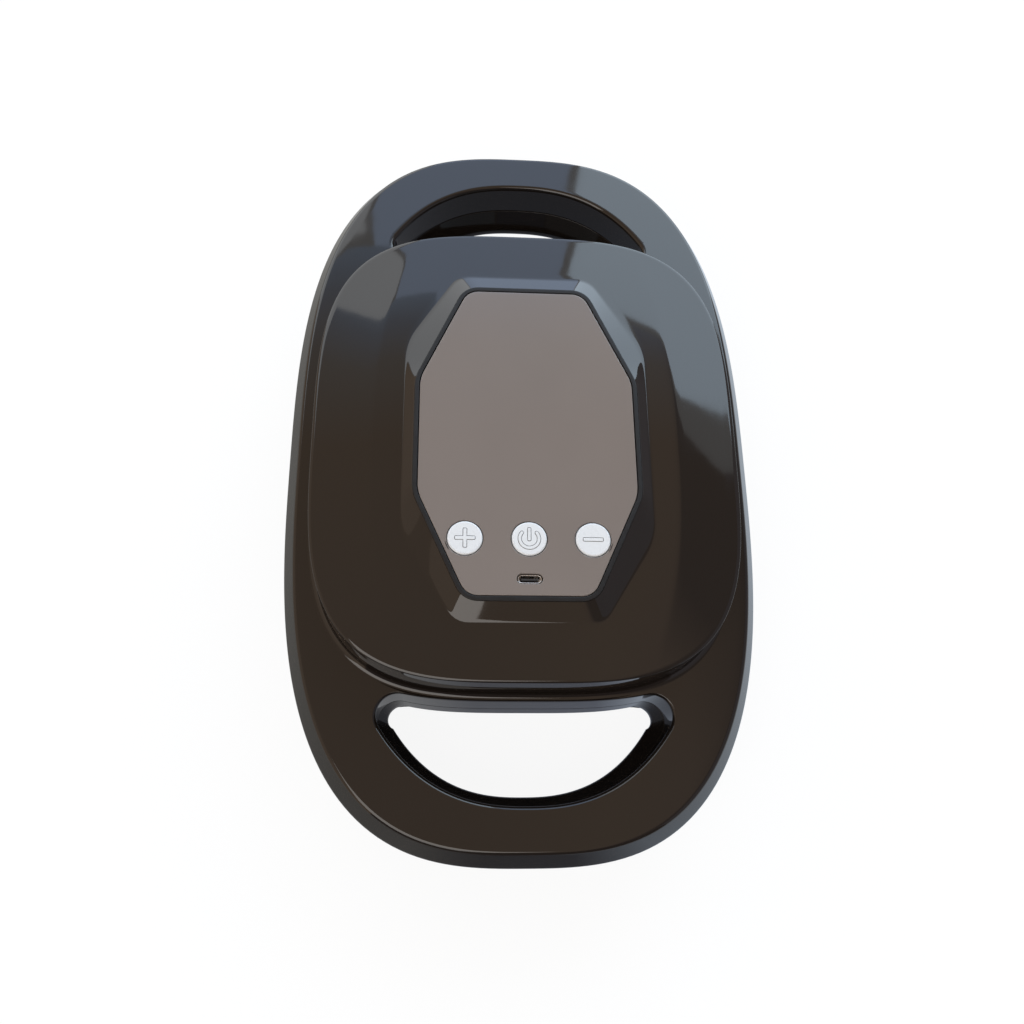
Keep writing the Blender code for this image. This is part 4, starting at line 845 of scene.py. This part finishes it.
def bar_outline(half_x, half_y, grow, centre_y=0):
    """A bar with softened corners."""
    radius = GLYPH_CORNER_RADIUS + grow
    reach_x, reach_y = half_x + grow, half_y + grow
    corners = [(reach_x, reach_y), (-reach_x, reach_y), (-reach_x, -reach_y), (reach_x, -reach_y)]
    return rounded_polygon([(x, y + centre_y, radius) for x, y in corners])


def cross_outline(half_length, half_width, grow):
    """Two crossed bars with softened corners."""
    reach, side, radius = half_length + grow, half_width + grow, GLYPH_CORNER_RADIUS + grow
    corners = []
    for turn in range(4):
        spin = Matrix.Rotation(math.pi / 2 * turn, 2)
        for x, y, rounding in ((side, side, 0), (side, reach, radius), (-side, reach, radius)):
            corners.append((*(spin @ Vector((x, y))), rounding))
    return rounded_polygon(corners)


def open_ring(radius, half_width):
    """A ring that is open at the top, with round ends."""
    start, sweep = math.pi / 2 + POWER_GAP_ANGLE, 2 * (math.pi - POWER_GAP_ANGLE)
    turns = [start + sweep * i / RING_STEPS for i in range(RING_STEPS + 1)]
    outline = [polar(radius + half_width, turn) for turn in turns]
    outline += round_end(radius, half_width, start + sweep, 0)
    outline += [polar(radius - half_width, turn) for turn in reversed(turns)]
    return outline + round_end(radius, half_width, start, math.pi)


def polar(radius, angle):
    return (radius * math.cos(angle), radius * math.sin(angle))


def round_end(radius, half_width, angle, turn):
    centre = polar(radius, angle)
    turns = [angle + turn + math.pi * i / GLYPH_ARC_STEPS for i in range(1, GLYPH_ARC_STEPS)]
    steps = [polar(half_width, part) for part in turns]
    return [(centre[0] + x, centre[1] + y) for x, y in steps]


def glyphs(name):
    """The raised marks on a button, as outlines that can be grown."""
    if name == "plus":
        return [lambda grow: cross_outline(PLUS_HALF_LENGTH, PLUS_HALF_WIDTH, grow)]
    if name == "minus":
        return [lambda grow: bar_outline(PLUS_HALF_LENGTH, PLUS_HALF_WIDTH, grow)]
    return [lambda grow: open_ring(POWER_RADIUS, POWER_HALF_WIDTH + grow),
            lambda grow: bar_outline(POWER_HALF_WIDTH, POWER_BAR_HALF_LENGTH, grow, POWER_BAR_Y)]


def buttons():
    """Round caps that stand a little proud of the panel, each with a raised mark in a fine groove, which
    is coloured darker grey as painted shade.
    """
    for name, button_x in button_places.items():
        low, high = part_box(name + "_button")
        face_z = high.z - GLYPH_PROUD
        flange_top_z = panel_under_z - BUTTON_GAP
        flange = BUTTON_RADIUS + BUTTON_FLANGE
        skin = Skin()

        def cap_outline(radius):
            return circle(radius, BUTTON_STEPS, (button_x, BUTTON_Y))

        def mark(outline, height):
            return skin.ring([(x + button_x, y + BUTTON_Y) for x, y in outline], height)

        side = rounded_path([(flange, low.z, 0), (flange, flange_top_z, 0),
                             (BUTTON_RADIUS, flange_top_z, 0), (BUTTON_RADIUS, face_z, BUTTON_EDGE_RADIUS),
                             (BUTTON_RADIUS - BUTTON_EDGE_RADIUS - TINY_RADIUS, face_z, 0)])
        bottom, face = skin.sweep(cap_outline, side)
        skin.fill(bottom)
        mouths = []
        grooves = []
        for glyph in glyphs(name):
            groove_z = face_z - GROOVE_DEPTH
            groove = [mark(glyph(GROOVE_WIDTH), face_z), mark(glyph(GROOVE_WIDTH), groove_z),
                      mark(glyph(0), groove_z)]
            first = len(skin.faces)
            skin.bridge(*groove)
            grooves += range(first, len(skin.faces))
            crown = [groove[-1], mark(glyph(0), high.z - GLYPH_EDGE), mark(glyph(-GLYPH_EDGE), high.z)]
            skin.bridge(*crown)
            skin.fill(crown[-1])
            mouths.append(groove[0])
        skin.fill(face, *mouths)
        made = skin.mesh(name + "_cap")
        # The groove faces take a darker grey: painted shade in the grooves round the marks
        two_finishes(made, button_white(), groove_grey(), grooves)
        place(made, name + "_button", "button", button_white(), name + "_button")


def charging_socket():
    """The drawn steel shell of the socket and the black tongue in it."""
    shell_low, shell_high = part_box("socket_shell")
    skin = Skin()
    path = rounded_path([(0, shell_low.z, 0), (0, shell_high.z, SOCKET_EDGE_RADIUS),
                         (-SOCKET_WALL, shell_high.z, SOCKET_EDGE_RADIUS),
                         (-SOCKET_WALL, shell_low.z + SOCKET_FLOOR, 0)], SMALL_STEPS)
    outer, inner = skin.sweep(slot_outline, path)
    skin.fill(outer)
    skin.fill(inner)
    place(skin.mesh("socket_can"), "casing", "steel", bright_steel(), "socket_shell")

    tongue_low, tongue_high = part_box("socket_tongue")
    skin = Skin()
    middle_y = (tongue_low.y + tongue_high.y) / 2
    half_y = (tongue_high.y - tongue_low.y) / 2

    def tongue_outline(inset):
        return bar_outline(tongue_high.x, half_y, -inset, middle_y)

    path = [(0, tongue_low.z), (0, tongue_high.z - TONGUE_EDGE), (TONGUE_EDGE, tongue_high.z)]
    bottom, top = skin.sweep(tongue_outline, path)
    skin.fill(bottom)
    skin.fill(top)
    place(skin.mesh("socket_blade"), "casing", "black_plastic", black_plastic(), "socket_tongue")


def roller_profile(half_length, shifted):
    """Places and radii along a bar of touching balls, from one end to the other."""
    neck_angle = math.acos(BALL_SPACING / 2 / BALL_RADIUS)
    profile = []
    for ball in range(BALLS_PER_ROLLER + (1 if shifted else 0)):
        centre = BALL_SPACING * (ball + (0 if shifted else 0.5)) - half_length
        for i in range(BALL_STEPS + 1):
            angle = math.pi - neck_angle - (math.pi - 2 * neck_angle) * i / BALL_STEPS
            spot = centre + BALL_RADIUS * math.cos(angle)
            if -half_length <= spot <= half_length:
                profile.append((spot, BALL_RADIUS * math.sin(angle)))
    return profile


def rollers():
    """Wooden rollers, turned as rows of touching balls, bored for their axles."""
    for number in range(1, ROLLER_COUNT + 1):
        name = "roller_%d" % number
        low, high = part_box(name)
        middle = (low + high) / 2
        balls = roller_profile(high.x, number % 2 == 0)
        profile = [(-high.x, AXLE_BORE), *balls, (high.x, AXLE_BORE)]
        skin = Skin()
        rings = []
        for spot, radius in profile:
            section = circle(radius, ROLLER_STEPS, (middle.y, BALL_RADIUS))
            rings.append(skin.loop([(spot, y, z) for y, z in section]))
        skin.bridge(*rings, rings[0])
        place(skin.mesh(name + "_balls"), name, "wood", turned_wood(), name)


class Finish:
    """A material built from nodes round one Principled shader."""

    def __init__(self, name, colour, roughness, metallic=0.0, **sockets):
        self.material = bpy.data.materials.new(name)
        self.material.use_nodes = True
        self.tree = self.material.node_tree
        self.shader = self.tree.nodes["Principled BSDF"]
        self.set("Base Color", (*colour, 1))
        self.set("Roughness", roughness)
        self.set("Metallic", metallic)
        for socket, value in sockets.items():
            self.set(socket.replace("_", " "), value)
        self.material.diffuse_color = (*colour, 1)
        self.place = self.add("ShaderNodeTexCoord").outputs["Object"]
        self.bumps = None

    def set(self, socket, value):
        self.shader.inputs[socket].default_value = value

    def add(self, kind, **settings):
        node = self.tree.nodes.new(kind)
        for name, value in settings.items():
            setattr(node, name, value)
        return node

    def link(self, start, end):
        self.tree.links.new(start, end)
        return end

    def stretched(self, scale):
        """The piece's own coordinates, stretched along its axes."""
        node = self.add("ShaderNodeMapping")
        node.inputs["Scale"].default_value = scale
        self.link(self.place, node.inputs["Vector"])
        return node.outputs["Vector"]

    def noise(self, scale, detail=2.0, roughness=0.5, distortion=0.0, place=None):
        node = self.add("ShaderNodeTexNoise")
        node.inputs["Scale"].default_value = scale
        node.inputs["Detail"].default_value = detail
        node.inputs["Roughness"].default_value = roughness
        node.inputs["Distortion"].default_value = distortion
        self.link(place or self.place, node.inputs["Vector"])
        return node.outputs["Fac"]

    def ranged(self, value, low, high, from_low=0.3, from_high=0.7):
        node = self.add("ShaderNodeMapRange")
        limits = {"From Min": from_low, "From Max": from_high, "To Min": low, "To Max": high}
        for socket, limit in limits.items():
            node.inputs[socket].default_value = limit
        self.link(value, node.inputs["Value"])
        return node.outputs["Result"]

    def tinted(self, value, low, high, from_low=0.3, from_high=0.7):
        """Runs the base colour from one tint to another with a texture."""
        node = self.add("ShaderNodeValToRGB")
        node.color_ramp.elements[0].color = (*low, 1)
        node.color_ramp.elements[1].color = (*high, 1)
        self.link(self.ranged(value, 0, 1, from_low, from_high), node.inputs["Fac"])
        self.link(node.outputs["Color"], self.shader.inputs["Base Color"])

    def roughened(self, value, low, high, from_low=0.3, from_high=0.7):
        self.link(self.ranged(value, low, high, from_low, from_high), self.shader.inputs["Roughness"])

    def bumped(self, value, height, strength=1.0):
        """Raises the surface by a texture, over any relief that it has so far."""
        node = self.add("ShaderNodeBump")
        node.inputs["Distance"].default_value = height
        node.inputs["Strength"].default_value = strength
        self.link(value, node.inputs["Height"])
        if self.bumps:
            self.link(self.bumps, node.inputs["Normal"])
        self.bumps = node.outputs["Normal"]
        self.link(self.bumps, self.shader.inputs["Normal"])


def moulded(name, colour, roughness, wear, wear_range, grain, height, metallic=0.0, **sockets):
    """A material whose roughness and fine relief follow noises. Each material is made only once."""
    made = Finish(name, colour, roughness, metallic, **sockets)
    made.roughened(made.noise(*wear), *wear_range)
    made.bumped(made.noise(*grain), height)
    return made.material


@cache
def gloss_black():
    return moulded("gloss_black_plastic", (0.009, 0.0065, 0.005), 0.05, (45, 4, 0.55), (0.03, 0.05),
                   (110, 1), 0.000006, IOR=1.47)


@cache
def panel_surround():
    return moulded("panel_surround_black", (0.0035, 0.0035, 0.004), 0.42, (260, 3), (0.36, 0.5),
                   (1400, 2), 0.00001, Specular_IOR_Level=0.3)


@cache
def tinted_gloss():
    made = Finish("tinted_gloss_panel", (0.168, 0.141, 0.128), 0.05, IOR=1.5)
    made.tinted(made.noise(22, 2), (0.164, 0.138, 0.125), (0.174, 0.146, 0.132))
    made.roughened(made.noise(60, 5, 0.6), 0.035, 0.07)
    made.bumped(made.noise(180, 1), 0.000008)
    return made.material


@cache
def button_white():
    return moulded("button_white_plastic", (0.64, 0.64, 0.645), 0.28, (400, 3), (0.24, 0.34), (2500, 2),
                   0.000006)


# Painted shade: a darker grey for the grooves round the button marks, standing in for the shade that falls
# in them
@cache
def groove_grey():
    made = Finish("mark_groove_grey", (0.17, 0.17, 0.175), 0.5)
    made.roughened(made.noise(900, 2), 0.45, 0.6)
    return made.material


@cache
def turned_wood():
    made = Finish("turned_wood", (0.50, 0.29, 0.13), 0.42)
    grain = made.noise(1, 6, 0.62, 0.6, made.stretched((14, 150, 150)))
    made.tinted(grain, (0.33, 0.165, 0.065), (0.60, 0.37, 0.18), 0.25, 0.75)
    made.roughened(grain, 0.5, 0.34)
    made.bumped(grain, 0.00008)
    made.bumped(made.noise(1, 3, 0.5, 0, made.stretched((60, 1400, 1400))), 0.00004)
    return made.material


@cache
def bright_steel():
    return moulded("bright_steel", (0.60, 0.605, 0.61), 0.24, (700, 4), (0.17, 0.32), (2200, 2),
                   0.000004, 1.0)


@cache
def black_frame():
    return moulded("moulded_black", (0.024, 0.024, 0.026), 0.5, (300, 4), (0.42, 0.58), (1800, 3),
                   0.00003)


@cache
def black_plastic():
    return moulded("satin_black", (0.022, 0.022, 0.023), 0.38, (500, 3), (0.32, 0.46), (2600, 2),
                   0.00001)


@cache
def pale_nylon():
    return moulded("pale_nylon", (0.74, 0.725, 0.66), 0.42, (260, 4), (0.36, 0.5), (1500, 3), 0.00002,
                   Subsurface_Weight=0.08, Subsurface_Scale=0.002)


@cache
def board_green():
    made = Finish("solder_mask_green", (0.018, 0.125, 0.055), 0.34)
    traces = made.noise(900, 0)
    made.tinted(traces, (0.012, 0.095, 0.040), (0.026, 0.165, 0.075), 0.46, 0.54)
    made.bumped(traces, 0.00002)
    return made.material


@cache
def cell_wrap():
    return moulded("cell_wrap_blue", (0.045, 0.15, 0.37), 0.3, (120, 3), (0.24, 0.4), (160, 3, 0.6, 0.8),
                   0.00006)


@cache
def motor_zinc():
    made = Finish("plated_motor_steel", (0.50, 0.495, 0.48), 0.34, 1.0)
    made.roughened(made.noise(1, 4, 0.6, 0, made.stretched((60, 900, 900))), 0.26, 0.42)
    made.bumped(made.noise(1200, 2), 0.000008)
    return made.material


@cache
def lead_red():
    return moulded("red_lead_sleeve", (0.42, 0.022, 0.018), 0.42, (700, 3), (0.36, 0.5), (900, 2),
                   0.00002)


def dress_carried_parts():
    """Gives every part that keeps its own solid the finish of its kind."""
    kinds = {bright_steel: ("axle_", "drive_shaft", "motor_bracket", "battery_strap", "case_screw_",
                            "frame_screw_", "board_screw_", "plus_switch", "power_switch",
                            "minus_switch"),
             black_frame: ("roller_frame", "battery_tray"),
             pale_nylon: ("bearing_strip_", "drive_pinion", "transfer_gear", "idler_gear_",
                          "roller_gear_"),
             board_green: ("control_board",), cell_wrap: ("battery_cell_",),
             motor_zinc: ("motor", "gearbox"), lead_red: ("motor_lead", "battery_lead"),
             black_plastic: ("plus_plunger", "power_plunger", "minus_plunger")}
    for material, prefixes in kinds.items():
        for name, node in nodes.items():
            if name in prefixes or name.rpartition("_")[0] + "_" in prefixes:
                for material_slot in node.material_slots:
                    material_slot.material = material()


def seen_white(tree, seen_share=1.0, gloss_share=1.0):
    """A share for a ray from the camera, glass or a reflection, and nothing for the light itself."""
    def calculate(operation, first, second):
        node = tree.nodes.new("ShaderNodeMath")
        node.operation = operation
        tree.links.new(first, node.inputs[0])
        if isinstance(second, float):
            node.inputs[1].default_value = second
        else:
            tree.links.new(second, node.inputs[1])
        return node.outputs["Value"]
    rays = tree.nodes.new("ShaderNodeLightPath")
    seen = calculate("MAXIMUM", rays.outputs["Is Camera Ray"], rays.outputs["Is Transmission Ray"])
    mirrored_share = calculate("MULTIPLY", rays.outputs["Is Glossy Ray"], gloss_share)
    return calculate("MAXIMUM", calculate("MULTIPLY", seen, seen_share), mirrored_share)


def floor():
    """A plain white floor that the rollers stand on, with the object's shadow on it."""
    mesh = bpy.data.meshes.new("floor")
    corners = [(-1, -1), (1, -1), (1, 1), (-1, 1)]
    mesh.from_pydata([(x * FLOOR_REACH, y * FLOOR_REACH, 0) for x, y in corners], [], [(0, 1, 2, 3)])
    made = Finish("pale_floor", (0.90, 0.90, 0.90), 0.8)
    made.tinted(made.noise(0.8, 2), (0.895, 0.895, 0.895), (0.905, 0.905, 0.905))
    glow = made.add("ShaderNodeEmission")
    mix = made.add("ShaderNodeMixShader")
    output = made.tree.nodes["Material Output"]
    made.link(seen_white(made.tree, FLOOR_GLOW_SHARE, FLOOR_GLOSS_SHARE), mix.inputs["Fac"])
    made.link(made.shader.outputs["BSDF"], mix.inputs[1])
    made.link(glow.outputs["Emission"], mix.inputs[2])
    made.link(mix.outputs["Shader"], output.inputs["Surface"])
    mesh.materials.append(made.material)
    added("floor", mesh)


def camera():
    """The photograph's view: right, up and backward are the camera's axes in the parts' frame."""
    data = bpy.data.cameras.new("camera")
    data.lens = CAMERA_LENS
    data.sensor_width = CAMERA_SENSOR
    eye = added("camera", data)
    axes = Matrix((CAMERA_RIGHT, CAMERA_UP, CAMERA_BACKWARD)).transposed()
    eye.matrix_world = Matrix.Translation(CAMERA_PLACE) @ axes.to_4x4()
    bpy.context.scene.camera = eye


def soft_light(name, spot, aim, width, height, power, colour):
    data = bpy.data.lights.new(name, "AREA")
    data.shape = "RECTANGLE"
    data.size = width
    data.size_y = height
    data.energy = power
    data.color = colour
    lamp = added(name, data)
    lamp.location = spot
    lamp.rotation_euler = (Vector(aim) - Vector(spot)).to_track_quat("-Z", "Y").to_euler()


def world():
    """Soft room light, a little cooler and brighter behind the object, on a white background."""
    made = bpy.data.worlds.new("room")
    bpy.context.scene.world = made
    made.use_nodes = True
    tree = made.node_tree
    tree.nodes.clear()
    add = tree.nodes.new
    output = add("ShaderNodeOutputWorld")
    mix = add("ShaderNodeMixShader")
    room = add("ShaderNodeBackground")
    white = add("ShaderNodeBackground")
    white.inputs["Color"].default_value = (1, 1, 1, 1)
    white.inputs["Strength"].default_value = 1.0
    coordinates = add("ShaderNodeTexCoord")
    split = add("ShaderNodeSeparateXYZ")
    tones = add("ShaderNodeValToRGB")
    spread = add("ShaderNodeMapRange")
    spread.inputs["From Min"].default_value = -1.0
    tones.color_ramp.elements[0].color = (*ROOM_NEAR, 1)
    tones.color_ramp.elements[1].color = (*ROOM_FAR, 1)
    link = tree.links.new
    link(coordinates.outputs["Generated"], split.inputs["Vector"])
    link(split.outputs["Y"], spread.inputs["Value"])
    link(spread.outputs["Result"], tones.inputs["Fac"])
    link(tones.outputs["Color"], room.inputs["Color"])
    link(seen_white(tree), mix.inputs["Fac"])
    link(room.outputs["Background"], mix.inputs[1])
    link(white.outputs["Background"], mix.inputs[2])
    link(mix.outputs["Shader"], output.inputs["Surface"])


def card(name, corners, colour):
    """A plain glowing board round the object, out of view, that lights nothing and that only its gloss
    mirrors: a painted reflection.
    """
    mesh = bpy.data.meshes.new(name)
    mesh.from_pydata(corners, [], [range(len(corners))])
    made = Finish(name, (0, 0, 0), 1.0, Specular_IOR_Level=0.0, Emission_Color=(*colour, 1),
                  Emission_Strength=1.0)
    mesh.materials.append(made.material)
    board = added(name, mesh)
    # Hidden from camera, diffuse and shadow rays, so that its glow is only a painted reflection in the
    # object's gloss
    board.visible_camera = False
    board.visible_diffuse = False
    board.visible_shadow = False
    return made


def ramp(made, axis, low, high, stops):
    """Colours along an axis, from (share, colour) stops between its lowest and its highest place."""
    axes = made.add("ShaderNodeSeparateXYZ")
    made.link(made.place, axes.inputs["Vector"])
    node = made.add("ShaderNodeValToRGB")
    elements = node.color_ramp.elements
    while len(elements) < len(stops):
        elements.new(0.5)
    for element, (share, colour) in zip(elements, stops):
        element.position = share
        element.color = (*colour, 1)
    made.link(made.ranged(axes.outputs[axis], 0, 1, low, high), node.inputs["Fac"])
    return node.outputs["Color"]


def room_cards():
    """Glowing boards that light nothing and that only the object's gloss mirrors, as painted reflections
    of a room: a warm overhead board, a board just below the object with a painted shadow under it, and
    darker sides with painted shade in front, open to the bright windows behind the object.
    """
    steps = [math.radians(angle) for angle in range(-WINDOW_ANGLE, WINDOW_ANGLE + 1, 10)]
    reaches = [ROOM_FAR_REACH - WINDOW_RISE * max(math.sin(angle), 0) for angle in steps]
    back = [(reach * math.sin(angle), reach * math.cos(angle)) for reach, angle in zip(reaches, steps)]
    plan = [(-ROOM_HALF_WIDTH, -ROOM_NEAR_REACH), *back, (ROOM_HALF_WIDTH, -ROOM_NEAR_REACH)]
    # Painted reflection overhead, warm at the front and bluish-bright towards the windows
    reflected_ceiling = card("ceiling_reflection_board", [(x, y, ROOM_HEIGHT) for x, y in plan], REFLECTED_CEILING_TONE)
    along = ramp(reflected_ceiling, "Y", 0, ROOM_FAR_REACH, REFLECTED_CEILING_ALONG)
    across = ramp(reflected_ceiling, "X", -ROOM_FAR_REACH, ROOM_FAR_REACH, REFLECTED_CEILING_ACROSS)
    tint = reflected_ceiling.add("ShaderNodeVectorMath", operation="MULTIPLY")
    reflected_ceiling.link(along, tint.inputs[0])
    reflected_ceiling.link(across, tint.inputs[1])
    reflected_ceiling.link(tint.outputs["Vector"], reflected_ceiling.shader.inputs["Emission Color"])
    reflected_ceiling.set("Emission Strength", REFLECTED_CEILING_STRENGTH)
    # Painted shadow and reflection below: darkest under the object, bluish-bright on the right
    plate = circle(REFLECTED_TABLE_RADIUS, RING_STEPS)
    reflected_table = card("table_reflection_board", [(x, y, REFLECTED_TABLE_HEIGHT) for x, y in plate], REFLECTED_CEILING_TONE)
    across = ramp(reflected_table, "X", -REFLECTED_TABLE_SPAN, REFLECTED_TABLE_SPAN, PAINTED_TABLE_REFLECTION)
    reflected_table.link(across, reflected_table.shader.inputs["Emission Color"])
    # Painted reflections at the sides, and painted shade from the dark near board
    sides = (("left_reflection_board", plan[0], plan[1], LEFT_REFLECTION_TONE), ("right_reflection_board", plan[-2], plan[-1], RIGHT_REFLECTION_TONE),
             ("near_shade_reflection_board", plan[-1], plan[0], NEAR_PAINTED_SHADE_TONE))
    for name, start, end, tone in sides:
        card(name, [(*start, 0), (*end, 0), (*end, ROOM_HEIGHT), (*start, ROOM_HEIGHT)], tone)


def window(name, angle, width, radiance):
    """An upright window, in the round of the room's far side, that faces the object."""
    spot = (WINDOW_REACH * math.sin(angle), WINDOW_REACH * math.cos(angle), WINDOW_MIDDLE)
    strength = max(radiance)
    power = strength * math.pi * width * WINDOW_HEIGHT
    colour = [part / strength for part in radiance]
    soft_light(name, spot, (0, 0, WINDOW_MIDDLE), width, WINDOW_HEIGHT, power, colour)


def lights():
    for name, angle, width, radiance in WINDOWS:
        window(name, angle, width, radiance)
    soft_light("near_fill", FILL_PLACE, FILL_AIM, FILL_SIDE, FILL_SIDE, FILL_POWER, FILL_COLOUR)


camera()
floor()
world()
room_cards()
lights()
bpy.context.scene.view_settings.view_transform = "Standard"
upper_body()
lower_body()
top_cover()
control_panel()
buttons()
charging_socket()
rollers()
dress_carried_parts()
